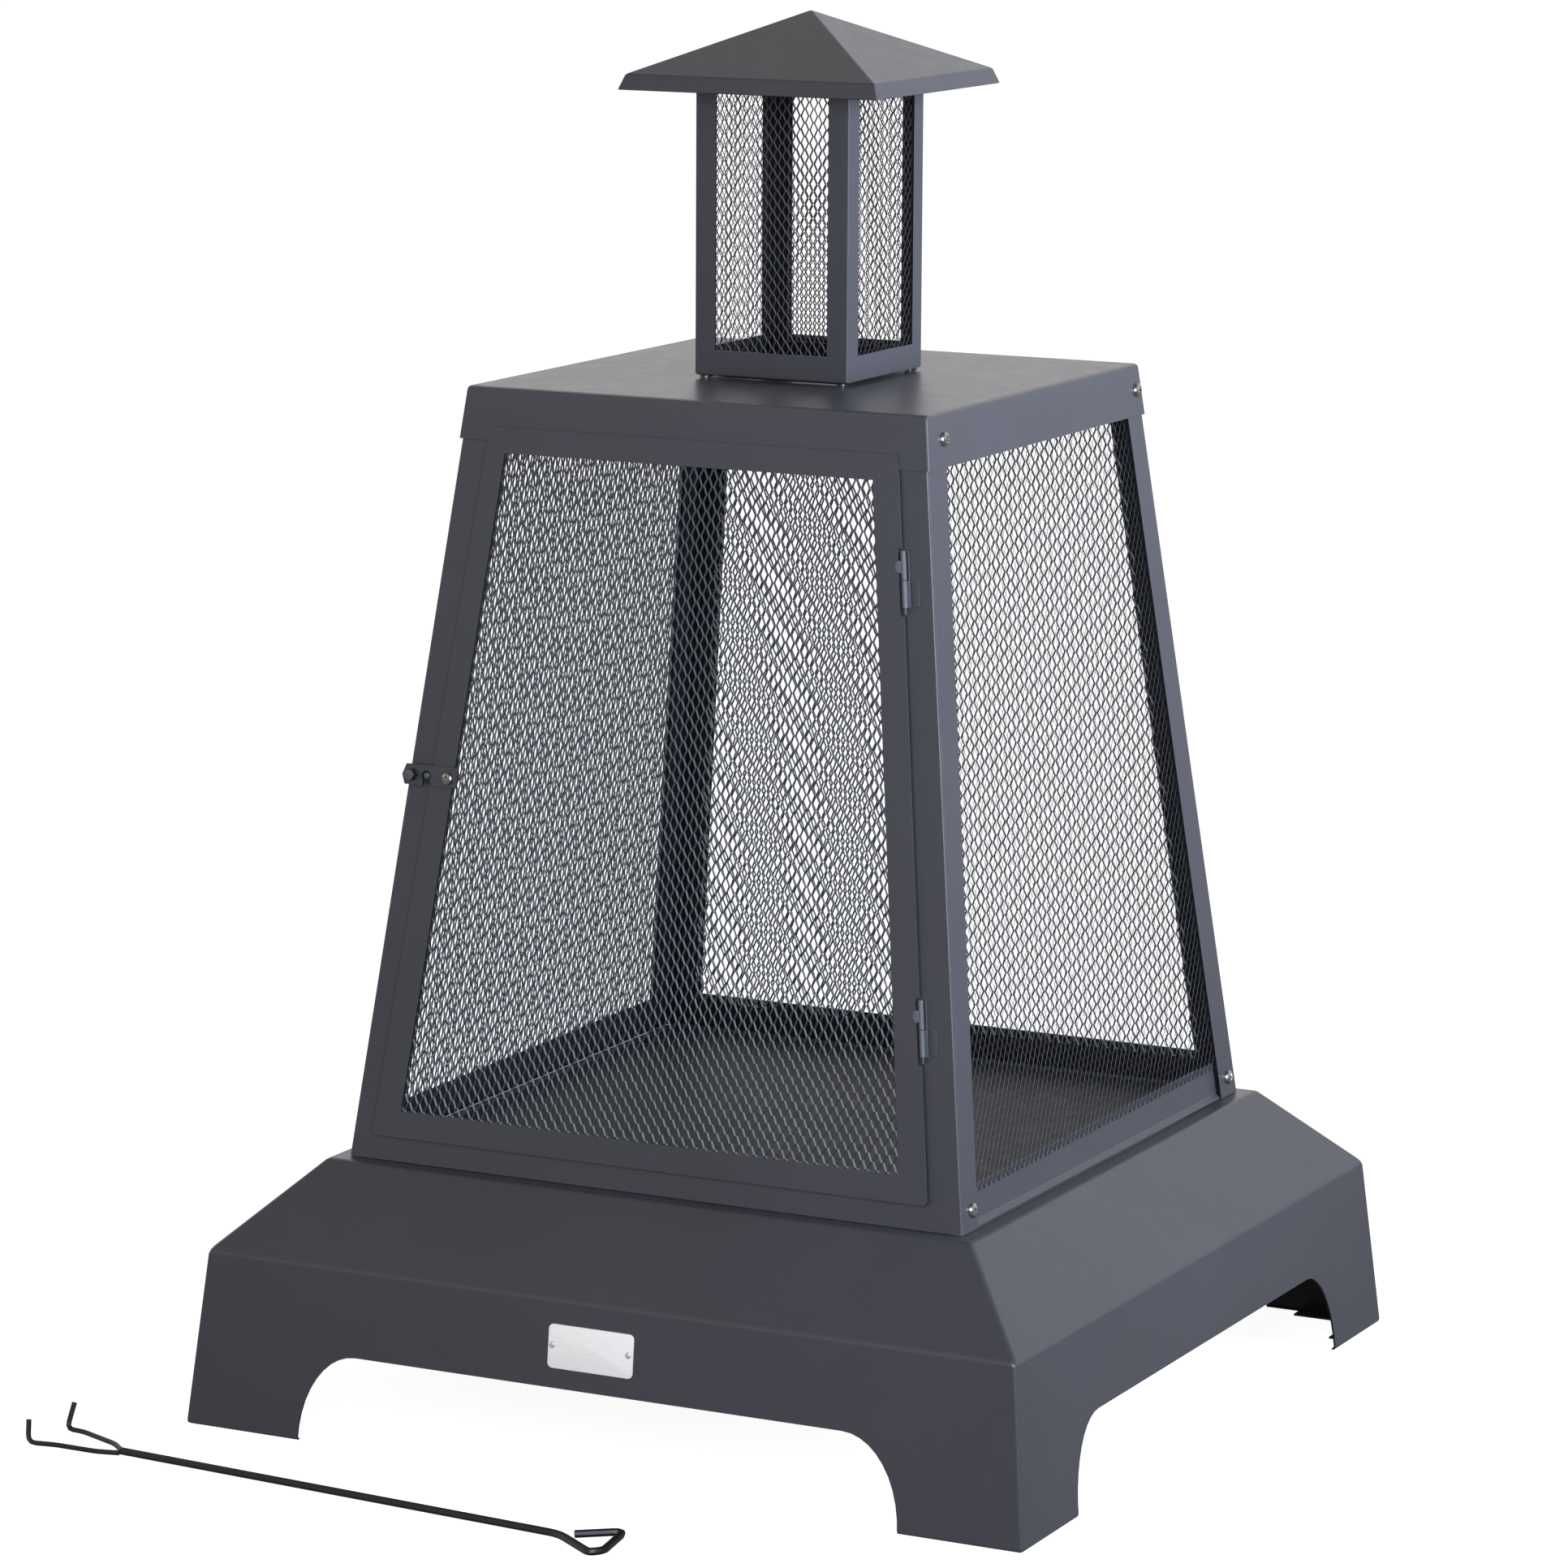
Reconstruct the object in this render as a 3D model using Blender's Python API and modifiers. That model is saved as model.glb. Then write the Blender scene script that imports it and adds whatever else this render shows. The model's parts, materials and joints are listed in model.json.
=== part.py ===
"""Square steel garden chiminea with mesh walls, a hinged mesh door, a mesh chimney and its poker.

Metres, +Z up, the ground at z = 0.  The front, with the door, faces -Y.
The origin is the middle of the footprint of the whole set: the chiminea and the poker in front of it.
The chiminea's own vertical centre line is moved off that origin by CHIMINEA_CENTRE.
"""
import math

import bmesh
import bpy
from mathutils import Matrix, Vector

# ---------------------------------------------------------------- driving dimensions
SHEET = 0.0015                 # steel sheet
GAP = 0.0003                   # clearance between touching pieces
TURN_STEPS = 12                # sides of a small turned piece

# Pedestal: half widths and heights of the outer skin
FOOT_HALF = 0.350
SKIRT_TOP_HALF, SKIRT_TOP_Z = 0.3366, 0.1350
DECK_HALF, DECK_Z = 0.2703, 0.2002
DECK_HOLE_HALF = 0.215
FOOT_FLANGE = 0.018
FLANGE_SETBACK, FLANGE_START = 0.030, 0.0035     # the foot flange stops short of the arches
ARCH_HALF, ARCH_HEIGHT, ARCH_CORNER, ARCH_STEPS = 0.251, 0.069, 0.048, 10

# Firebox walls: they lean in towards the lid
WALL_HALF, WALL_Z = 0.2577, 0.2026
LID_LINE_HALF, LID_LINE_Z = 0.1939, 0.7464
LEAN = math.atan((WALL_HALF - LID_LINE_HALF) / (LID_LINE_Z - WALL_Z))
PANEL_BOTTOM, PANEL_TOP = -0.0019, 0.5810        # measured up the slope of the wall
SIDE_BOTTOM, SIDE_TOP = 0.0028, 0.5765
FRONT_WRAP = (0.026, 0.031)                      # how far the front panel folds round the side
BACK_WRAP = (0.032, 0.028)                       # bottom, top
SIDE_DEPTH = 0.0039                              # side panels sit this far inside the wraps
MESH_DEPTH = 0.0022                              # and the mesh between the two
SIDE_MARGIN = 0.004
SIDE_LIP_END, SIDE_LIP_DEPTH = -0.0008, 0.0004    # foot of a side panel, kicked out onto the deck
SIDE_LIP_GAP = 0.0008                            # between that foot and the wraps
WINDOW_BOTTOM, WINDOW_TOP = 0.0285, 0.5520       # windows of the side and back panels
MESH_BOTTOM, MESH_TOP = 0.0228, 0.5600           # side mesh laps over the bottom rail
MESH_THICK = 0.0013
MESH_LAP, BACK_MESH_LAP, CHIMNEY_MESH_LAP = 0.008, 0.006, 0.006
MESH_RIM = 0.001                                 # solid edge of a mesh inside its window

# Door: corners on the slope of the front wall, from bottom left, anticlockwise
DOOR_OUTLINE = ((-0.2372, 0.0170), (0.2298, 0.0170), (0.1703, 0.5590), (-0.1680, 0.5590))
DOOR_WINDOW = ((-0.2128, 0.0370), (0.2059, 0.0370), (0.1514, 0.5396), (-0.1540, 0.5396))
DOOR_BACK, DOOR_FACE = 0.0026, 0.0044            # how far the door stands proud of the wall
DOOR_CORNER, CORNER_STEPS = 0.003, 3
OPENING_MARGIN = 0.008                           # doorway, wider than the door's window
RETAINER_MARGIN = 0.005                          # mesh and its strip, wider than the door's window

# Hinges
HINGE_STANDOFF = 0.0040
HINGE_OFFSET = 0.0012                            # axis beyond the door's right edge
HINGE_HEIGHTS = {"upper": 0.4688, "lower": 0.1447}
BARREL_RADIUS, BARREL_BORE, PIN_RADIUS = 0.0019, 0.0014, 0.0011
BORE_REACH = 0.040
UPPER_KNUCKLE, LOWER_KNUCKLE, PIN_TAIL, PIN_SUNK = 0.0215, 0.0200, 0.0045, 0.0010
NOTCH_DEPTH, NOTCH_BELOW, NOTCH_ABOVE = 0.0027, 0.0015, 0.0013
TAB_BOTTOM, TAB_TOP, TAB_THICK = 0.0053, 0.0145, 0.0010
TAB_NECK, TAB_ROUND = 0.0034, 0.0030             # straight part beside the axis, then a half oval
LEAF_THICK, LEAF_START, LEAF_END = 0.0010, 0.0026, 0.0105
WEB_START, WEB_END, RISER_END = 0.0004, 0.0030, 0.0018   # join the lower knuckle to its leaf

# Latch, measured from its pivot screw
LATCH_PIVOT = (-0.1865, 0.2926)
LATCH_BACK, LATCH_FACE = 0.0050, 0.0066
LATCH_TOP, LATCH_BOTTOM, LATCH_TIP, LATCH_RIGHT = 0.0088, -0.0068, -0.0395, 0.0085
LATCH_EASE, TIP_HIGH, TIP_LOW, TIP_Y = 0.0010, 0.0034, 0.0024, 0.0005     # its corners and its point
SLOT_X, SLOT_Y, SLOT_RADIUS, SLOT_STEPS = -0.0186, 0.0007, 0.0040, 10
SLOT_THROAT, SLOT_MOUTH = 0.0029, -0.0131        # half width below the round end, right end of the mouth
PIVOT_HOLE = 0.0022
STUD_X, STUD_Y, STUD_RADIUS, STUD_HEIGHT, STUD_SHOULDER = -0.0184, 0.0008, 0.0026, 0.0075, 0.0063
STUD_FLAT = 0.0018
KNOB_X, KNOB_Y, KNOB_RADIUS, KNOB_LENGTH = -0.0308, 0.0009, 0.0049, 0.0058

# Lid, chimney and roof
LID_BOTTOM_HALF, LID_BOTTOM_Z = 0.1959, 0.7476
LID_TOP_HALF, LID_TOP_Z = 0.1912, 0.7872
LID_PROUD = 0.0021
FLUE_HALF = 0.050
CHIMNEY_HALF, CHIMNEY_BOTTOM_Z, CHIMNEY_TOP_Z = 0.0646, 0.7896, 1.0322
CHIMNEY_WINDOW_HALF, CHIMNEY_WINDOW_Z = 0.0472, (0.8090, 1.0120)
EAVE_HALF, EAVE_Z = 0.1080, 1.0062
ROOF_HALF, ROOF_Z = 0.1037, 1.0174
APEX_Z = 1.0633
ROOF_BAR_Z, ROOF_BAR_WIDTH, ROOF_BAR_THICK = 1.0200, 0.020, 0.0020
ROOF_STUD_RADIUS, ROOF_STUD_HOLE, ROOF_STUD_LOW, ROOF_STUD_SUNK = 0.0025, 0.0030, 1.0110, 0.0042
ROOF_NUT_RADIUS, ROOF_NUT_HEIGHT = 0.0058, 0.0040

# Floor of the firebox
HEARTH_HALF, HEARTH_Z, HEARTH_RIM, HEARTH_FLARE = 0.241, 0.2025, 0.0040, 0.0004
HEARTH_BOLT_X, HEARTH_BOLT_Y = 0.2310, 0.180

# Outside radii of the folds in the sheet
PEDESTAL_FOLD, PANEL_FOLD, SIDE_FOLD, HEARTH_FOLD = 0.0030, 0.0022, 0.0010, 0.0015
LID_FOLD, CHIMNEY_FOLD, ROOF_FOLD = 0.0030, 0.0018, 0.0012

# Screws on the sides: distance from the middle of the side and height
LID_SCREWS = ((-0.1682, 0.7680), (0.1812, 0.7673))
FOOT_SCREWS = ((-0.2392, 0.2157), (0.2415, 0.2152))
CHIMNEY_SCREW_AT = 0.058
WASHER_RADIUS, WASHER_THICK = 0.0050, 0.0012

# Fasteners: radius and height of the head, radius and length of the shank
PAN_HEAD = ((0.0, 1.0), (0.55, 0.88), (0.86, 0.55), (1.0, 0.0))      # shares of a head's radius and height
CORNER_SCREW = (0.0055, 0.0032, 0.0022, 0.0080)
CHIMNEY_SCREW = (0.0040, 0.0026, 0.0019, 0.0080)
HEARTH_BOLT = (0.0065, 0.0036, 0.0029, 0.0120)
RIVET = (0.0024, 0.0012, 0.0012, 0.0050)
LATCH_SCREW = (0.0048, 0.0028, 0.0018, LATCH_FACE - DOOR_BACK)

# Their holes: radius and length of the drill
CORNER_DRILL, CHIMNEY_DRILL = (0.0027, 0.030), (0.0024, 0.020)
HEARTH_DRILL, RIVET_DRILL = (0.0034, 0.030), (0.0016, 0.012)

# Name plate on the front skirt
PLATE_X, PLATE_UP, PLATE_WIDTH, PLATE_HEIGHT = -0.0040, 0.1009, 0.0710, 0.0330
PLATE_THICK, PLATE_CORNER = 0.0010, 0.0035
RIVET_X, RIVET_UP = 0.0317, 0.0010

# Coarse diamonds stand for the fine expanded metal: width, height and strand
FIREBOX_DIAMOND = (0.092, 0.104, 0.008)
CHIMNEY_DIAMOND = (0.050, 0.075, 0.006)
STRAND_ACROSS, STRAND_UP = 0.6, 0.9              # strands taken off the half width and height of a diamond
SMALLEST_HOLE = 0.15                             # share of a diamond below which a cut-off one is left out

# Poker on the ground, in the chiminea's own frame: the routes of its wires, the rod's loop last
ROD_RADIUS, PRONG_RADIUS = 0.0030, 0.0020
ROD_ROUTE = ((-0.3480, -0.4420), (0.0400, -0.4690), (0.0790, -0.4965), (0.0865, -0.4880), (0.0790, -0.4420),
             (0.0500, -0.4640))
NEAR_PRONG = ((-0.3486, -0.4444), (-0.3660, -0.4490), (-0.4020, -0.4487), (-0.4240, -0.4530))
NEAR_TIP = (-0.4250, -0.4500, 0.0190)
FAR_PRONG = ((-0.3486, -0.4397), (-0.3640, -0.4260), (-0.4030, -0.4100), (-0.4180, -0.4090))
FAR_TIP = (-0.4150, -0.4030, 0.0215)
BEND_SHARE, BEND_RADII = 0.38, 3.0               # a bend's reach: share of a leg, and most wire radii
POKER_MIDDLE = (-0.150, -0.455, 0.0)
POKER_LOW_X, POKER_LOW_Y = -0.4275, -0.4972      # furthest reach of the poker
CHIMINEA_CENTRE = Vector((-(FOOT_HALF + POKER_LOW_X) / 2, -(FOOT_HALF + POKER_LOW_Y) / 2, 0.0))

SKIRT_LEAN = math.atan((FOOT_HALF - SKIRT_TOP_HALF) / SKIRT_TOP_Z)


# ---------------------------------------------------------------- scene, materials, placing
for old in list(bpy.data.objects):
    bpy.data.objects.remove(old)

PARTS = bpy.data.collections.new("chiminea")
TOOLS = bpy.data.collections.new("cutters")
for group in (PARTS, TOOLS):
    bpy.context.scene.collection.children.link(group)


def material(name, colour, roughness, metallic):
    """A Principled material."""
    made = bpy.data.materials.new(name)
    made.use_nodes = True
    shader = made.node_tree.nodes["Principled BSDF"]
    shader.inputs["Base Color"].default_value = (*colour, 1.0)
    shader.inputs["Roughness"].default_value = roughness
    shader.inputs["Metallic"].default_value = metallic
    return made


COAT = material("charcoal_powder_coat", (0.060, 0.062, 0.072), 0.55, 0.30)
MESH_PAINT = material("black_mesh_paint", (0.030, 0.031, 0.036), 0.50, 0.35)
NICKEL = material("bright_nickel", (0.80, 0.79, 0.77), 0.22, 1.0)
ALUMINIUM = material("brushed_aluminium", (0.82, 0.83, 0.84), 0.38, 0.9)
BLACK_STEEL = material("black_poker_steel", (0.018, 0.018, 0.022), 0.42, 0.40)


def empty(name, place, parent=None):
    """An empty that carries other objects; place is in the chiminea's frame."""
    made = bpy.data.objects.new(name, None)
    PARTS.objects.link(made)
    made.parent = parent
    made.matrix_local = place
    return made


CENTRE_LINE = empty("centre_line", Matrix.Translation(CHIMINEA_CENTRE))
CARRIER_PLACE = {CENTRE_LINE.name: Matrix()}


def carrier(name, place):
    """An empty on a joint's axis, carried by the centre line."""
    CARRIER_PLACE[name] = place
    return empty(name, place, CENTRE_LINE)


def put(name, mesh_or_curve, paint, place=Matrix(), on=CENTRE_LINE, smooth=False):
    """Make an object from its data, paint it and put it at a place in the chiminea's frame."""
    made = bpy.data.objects.new(name, mesh_or_curve)
    PARTS.objects.link(made)
    mesh_or_curve.materials.append(paint)
    made.parent = on
    made.matrix_local = CARRIER_PLACE[on.name].inverted() @ place
    if smooth:
        mesh_or_curve.shade_smooth()
        mesh_or_curve.set_sharp_from_angle(angle=math.radians(40))
    return made


def tool(name, mesh, place=Matrix()):
    """A cutter or a joined shape: it shows as wire and is not a piece."""
    made = bpy.data.objects.new(name, mesh)
    TOOLS.objects.link(made)
    made.parent = CENTRE_LINE
    made.matrix_local = place
    made.hide_render = True
    made.display_type = "WIRE"
    return made


def combine(piece, other, operation):
    """Boolean modifier of one of the tools on a piece."""
    step = piece.modifiers.new(f"{operation.lower()}_{other.name}", "BOOLEAN")
    step.operation = operation
    step.object = other
    step.solver = "EXACT"


def mesh_from(bm, name):
    """Store a bmesh as mesh data."""
    mesh = bpy.data.meshes.new(name)
    bm.to_mesh(mesh)
    bm.free()
    return mesh


# ---------------------------------------------------------------- frames on the walls
UPRIGHT = Matrix.Rotation(math.pi / 2, 4, "X")


def quarter(turns):
    """Turn about the centre line: 0 front, 1 right, 2 back, 3 left."""
    return Matrix.Rotation(math.radians(90 * turns), 4, "Z")


def on_wall(x, up, proud=0.0):
    """A point of the front wall: across, up its slope and out from its face."""
    return Vector((x,
                   -WALL_HALF + up * math.sin(LEAN) - proud * math.cos(LEAN),
                   WALL_Z + up * math.cos(LEAN) + proud * math.sin(LEAN)))


def wall_frame(x, up, proud=0.0, turns=0):
    """Frame on a wall: X across, Y up the slope, Z out of the face."""
    upright = Matrix.Rotation(math.pi / 2 - LEAN, 4, "X")
    return quarter(turns) @ Matrix.Translation(on_wall(x, up, proud)) @ upright


def slope_of(z, proud=0.0):
    """Distance up the slope of a wall for a height."""
    return (z - WALL_Z - proud * math.sin(LEAN)) / math.cos(LEAN)


def half_at(up):
    """Half width of the firebox at a distance up its slope."""
    return WALL_HALF - up * math.sin(LEAN)


# ---------------------------------------------------------------- shapes
def square_sheet(rings, floor=False):
    """Open square skin through rings of (half width, height), its corners in line."""
    bm = bmesh.new()
    half, z = rings[0]
    place = Matrix.Translation((0, 0, z)) @ Matrix.Rotation(math.radians(45), 4, "Z")
    bmesh.ops.create_circle(bm, cap_ends=floor, segments=4, radius=half * math.sqrt(2), matrix=place)
    edges = bm.edges[:]
    for half, z in rings[1:]:
        grown = bmesh.ops.extrude_edge_only(bm, edges=edges)["geom"]
        corners = {item for item in grown if isinstance(item, bmesh.types.BMVert)}
        for corner in corners:
            corner.co = (math.copysign(half, corner.co.x), math.copysign(half, corner.co.y), z)
        edges = [edge for edge in bm.edges if corners.issuperset(edge.verts)]
    bmesh.ops.remove_doubles(bm, verts=bm.verts, dist=0.0001)
    bmesh.ops.recalc_face_normals(bm, faces=bm.faces)
    return bm


def bend_and_thicken(piece, radius, thickness=SHEET, segments=2):
    """Round the folds of an open skin, then give it its thickness inwards."""
    if radius:
        fold = piece.modifiers.new("folds", "BEVEL")
        fold.width = radius
        fold.segments = segments
        fold.limit_method = "ANGLE"
        fold.angle_limit = math.radians(15)
    wall = piece.modifiers.new("sheet", "SOLIDIFY")
    wall.thickness = thickness
    wall.offset = -1
    wall.use_even_offset = True


def outline_curve(name, outlines, thickness):
    """Flat plate, its first outline outside and the others holes."""
    curve = bpy.data.curves.new(name, "CURVE")
    curve.dimensions = "2D"
    curve.fill_mode = "BOTH"
    curve.extrude = thickness / 2
    for points in outlines:
        spline = curve.splines.new("POLY")
        spline.points.add(len(points) - 1)
        for point, (x, y) in zip(spline.points, points):
            point.co = (x, y, 0, 1)
        spline.use_cyclic_u = True
    return curve


def prism(name, outline, depth):
    """Closed mesh of an outline, half its depth either way along Z."""
    drawn = bpy.data.objects.new(name, outline_curve(name, [outline], depth))
    TOOLS.objects.link(drawn)
    bpy.context.view_layer.update()
    solid = bpy.data.meshes.new_from_object(drawn.evaluated_get(bpy.context.evaluated_depsgraph_get()))
    bpy.data.objects.remove(drawn)
    bm = bmesh.new()
    bm.from_mesh(solid)
    bmesh.ops.remove_doubles(bm, verts=bm.verts, dist=0.00001)
    return mesh_from(bm, name)


def circle(x, y, radius, steps=TURN_STEPS):
    """Points round a circle."""
    return [(x + radius * math.cos(2 * math.pi * i / steps), y + radius * math.sin(2 * math.pi * i / steps))
            for i in range(steps)]


def arc(x, y, radius, start, end, steps):
    """Points along an arc, angles in degrees."""
    angles = [math.radians(start + (end - start) * i / steps) for i in range(steps + 1)]
    return [(x + radius * math.cos(a), y + radius * math.sin(a)) for a in angles]


def grown(outline, margin):
    """An anticlockwise convex outline moved outwards by a margin."""
    sides = []
    count = len(outline)
    for i in range(count):
        start, end = Vector(outline[i]), Vector(outline[(i + 1) % count])
        along = (end - start).normalized()
        outwards = Vector((along.y, -along.x))
        sides.append((start + outwards * margin, along))
    corners = []
    for i in range(count):
        (p, u), (q, v) = sides[i - 1], sides[i]
        reach = ((q.x - p.x) * v.y - (q.y - p.y) * v.x) / (u.x * v.y - u.y * v.x)
        corners.append(tuple(p + u * reach))
    return corners


def rounded(outline, radius, steps=CORNER_STEPS):
    """An anticlockwise convex outline with its corners rounded."""
    points = []
    count = len(outline)
    for i in range(count):
        corner = Vector(outline[i])
        before = (Vector(outline[i - 1]) - corner).normalized()
        after = (Vector(outline[(i + 1) % count]) - corner).normalized()
        opening = before.angle(after)
        middle = corner + (before + after).normalized() * radius / math.sin(opening / 2)
        start = corner + before * radius / math.tan(opening / 2) - middle
        sweep = math.pi - opening
        for j in range(steps + 1):
            turn = Matrix.Rotation(sweep * j / steps, 2)
            points.append(tuple(middle + turn @ start))
    return points


def clipped(shape, outline):
    """The part of a convex shape inside an anticlockwise convex outline."""
    for i in range(len(outline)):
        start, end = Vector(outline[i]), Vector(outline[(i + 1) % len(outline)])
        inwards = Vector((start.y - end.y, end.x - start.x)).normalized()
        depth = [inwards.dot(Vector(p) - start) for p in shape]
        kept = []
        for j, point in enumerate(shape):
            before, last = depth[j - 1], shape[j - 1]
            if (before < 0) != (depth[j] < 0):
                share = before / (before - depth[j])
                kept.append(tuple(Vector(last).lerp(Vector(point), share)))
            if depth[j] >= 0:
                kept.append(point)
        shape = kept
        if len(shape) < 3:
            return []
    return shape


def area(shape):
    """Area of a flat outline."""
    return abs(sum(shape[i - 1][0] * p[1] - p[0] * shape[i - 1][1] for i, p in enumerate(shape))) / 2


def diamond_sheet(name, outline, window, pattern):
    """Expanded metal sheet: staggered diamonds, cut off at the edge of the window."""
    wide, tall, strand = pattern
    half_x, half_y = wide / 2 - strand * STRAND_ACROSS, tall / 2 - strand * STRAND_UP
    middle_x = sum(x for x, _ in window) / 4
    middle_y = sum(y for _, y in window) / 4
    reach = int(max(abs(value) for point in window for value in point) / (wide / 2)) + 2
    holes = []
    for row in range(-reach, reach + 1):
        for column in range(-reach, reach + 1):
            x = middle_x + (column + row % 2 * 0.5) * wide
            y = middle_y + row * tall / 2
            diamond = [(x + half_x, y), (x, y + half_y), (x - half_x, y), (x, y - half_y)]
            hole = clipped(diamond, window)
            if area(hole) > SMALLEST_HOLE * wide * tall / 2:
                holes.append(hole)
    return outline_curve(name, [outline] + holes, MESH_THICK)


def turned(name, profile):
    """Solid turned about Z from (radius, height) points, down the outer side from the top."""
    bm = bmesh.new()
    verts = [bm.verts.new((radius, 0, height)) for radius, height in profile]
    for first, second in zip(verts, verts[1:]):
        bm.edges.new((first, second))
    return mesh_from(bm, name)


def put_turned(name, profile, paint, place, on=CENTRE_LINE):
    """Turn a profile into a round piece at a place."""
    piece = put(name, turned(name, profile), paint, place, on)
    turn = piece.modifiers.new("turned", "SCREW")
    turn.steps = TURN_STEPS
    turn.render_steps = TURN_STEPS
    turn.use_merge_vertices = True
    turn.merge_threshold = 0.00001
    turn.use_smooth_shade = True


def pan_head(head_radius, head_height, shank_radius, shank_length):
    """Profile of a pan-head screw: its head from z = 0 up, its shank down."""
    head = [(head_radius * across, head_height * up) for across, up in PAN_HEAD]
    return head + [(shank_radius, 0.0), (shank_radius, -shank_length), (0.0, -shank_length)]


def drill(name, places, radius, length):
    """Cylinders along the Z of each place, joined in one cutter."""
    bm = bmesh.new()
    for place in places:
        bmesh.ops.create_cone(bm, cap_ends=True, segments=TURN_STEPS, radius1=radius, radius2=radius,
                              depth=length, matrix=place)
    return tool(name, mesh_from(bm, name))


def box_mesh(name, low, high):
    """A box between two corners."""
    low, high = Vector(low), Vector(high)
    bm = bmesh.new()
    size = Matrix.Diagonal((*(high - low), 1.0))
    bmesh.ops.create_cube(bm, size=1.0, matrix=Matrix.Translation((low + high) / 2) @ size)
    return mesh_from(bm, name)


def cylinder_mesh(name, radius, low, high, steps=18):
    """A cylinder along Z between two heights."""
    bm = bmesh.new()
    bmesh.ops.create_cone(bm, cap_ends=True, segments=steps, radius1=radius, radius2=radius, depth=high - low,
                          matrix=Matrix.Translation((0, 0, (low + high) / 2)))
    return mesh_from(bm, name)


# ---------------------------------------------------------------- places of the screws
def side_place(y, z, proud, turns):
    """Frame of a screw on a side; y runs from front to back on both sides."""
    across = y if turns == 1 else -y
    return wall_frame(across, slope_of(z, proud), proud, turns)


SIDES = {"right": 1, "left": 3}
CORNER_SCREWS = {}
for side, turns in SIDES.items():
    for end, (y, z) in zip(("front", "back"), LID_SCREWS):
        CORNER_SCREWS[f"lid_screw_{side}_{end}"] = side_place(y, z, LID_PROUD + GAP, turns)
    for end, (y, z) in zip(("front", "back"), FOOT_SCREWS):
        CORNER_SCREWS[f"wall_screw_{side}_{end}"] = side_place(y, z, GAP, turns)

CHIMNEY_SCREWS = {}
HEARTH_BOLTS = {}
for side, x_sign in (("left", -1), ("right", 1)):
    for end, y_sign in (("front", -1), ("back", 1)):
        CHIMNEY_SCREWS[f"{side}_{end}"] = Matrix.Translation(
            (x_sign * CHIMNEY_SCREW_AT, y_sign * CHIMNEY_SCREW_AT, CHIMNEY_BOTTOM_Z + SHEET + GAP))
        HEARTH_BOLTS[f"hearth_bolt_{side}_{end}"] = Matrix.Translation(
            (x_sign * HEARTH_BOLT_X, y_sign * HEARTH_BOLT_Y, HEARTH_Z + SHEET + GAP))

SKIRT_FACE = (Matrix.Translation((0, -FOOT_HALF, 0))
              @ Matrix.Rotation(math.pi / 2 - SKIRT_LEAN, 4, "X"))
RIVETS = {f"plate_rivet_{side}": SKIRT_FACE @ Matrix.Translation(
    (PLATE_X + sign * RIVET_X, PLATE_UP + RIVET_UP, 2 * GAP + PLATE_THICK))
    for side, sign in (("left", -1), ("right", 1))}

CORNER_HOLES = drill("corner_screw_holes", CORNER_SCREWS.values(), *CORNER_DRILL)
CHIMNEY_HOLES = drill("chimney_screw_holes", CHIMNEY_SCREWS.values(), *CHIMNEY_DRILL)
HEARTH_HOLES = drill("hearth_bolt_holes", HEARTH_BOLTS.values(), *HEARTH_DRILL)
RIVET_HOLES = drill("rivet_holes", RIVETS.values(), *RIVET_DRILL)


# ---------------------------------------------------------------- pedestal
def make_pedestal():
    """Sheet skirt with arched sides, folded in under the feet and over to the deck."""
    rings = [(FOOT_HALF - FOOT_FLANGE, 0.0), (FOOT_HALF, 0.0), (SKIRT_TOP_HALF, SKIRT_TOP_Z),
             (DECK_HALF, DECK_Z), (DECK_HOLE_HALF, DECK_Z)]
    pedestal = put("pedestal", mesh_from(square_sheet(rings), "pedestal"), COAT)
    bend_and_thicken(pedestal, PEDESTAL_FOLD)
    flat = ARCH_HALF - ARCH_CORNER
    corner = [(flat + ARCH_CORNER * x, ARCH_HEIGHT * z) for x, z in arc(0, 0, 1, 0, 90, ARCH_STEPS)]
    half_arch = [(ARCH_HALF, -FOOT_FLANGE)] + corner
    outline = half_arch + [(-x, z) for x, z in reversed(half_arch)]
    for turns in (0, 1):
        arch = prism("arch", outline, 3 * FOOT_HALF)
        combine(pedestal, tool(f"arch_{turns}", arch, quarter(turns) @ UPRIGHT), "DIFFERENCE")
        x, y = ARCH_HALF + FLANGE_SETBACK, FOOT_HALF - FLANGE_START
        gap = box_mesh("flange_gap", (-x, -y, -SHEET), (x, y, 2 * SHEET))
        combine(pedestal, tool(f"flange_gap_{turns}", gap, quarter(turns)), "DIFFERENCE")
    combine(pedestal, HEARTH_HOLES, "DIFFERENCE")
    combine(pedestal, RIVET_HOLES, "DIFFERENCE")


def make_name_plate():
    """Blank plate with rounded corners, on two rivets."""
    half_w, half_h = PLATE_WIDTH / 2, PLATE_HEIGHT / 2
    corners = ((-half_w, -half_h), (half_w, -half_h), (half_w, half_h), (-half_w, half_h))
    holes = [circle(sign * RIVET_X, RIVET_UP, RIVET_DRILL[0]) for sign in (-1, 1)]
    plate = outline_curve("name_plate", [rounded(corners, PLATE_CORNER)] + holes, PLATE_THICK)
    place = SKIRT_FACE @ Matrix.Translation((PLATE_X, PLATE_UP, GAP + PLATE_THICK / 2))
    put("name_plate", plate, ALUMINIUM, place)
    for name, place in RIVETS.items():
        put_turned(name, pan_head(*RIVET), ALUMINIUM, place)


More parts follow.
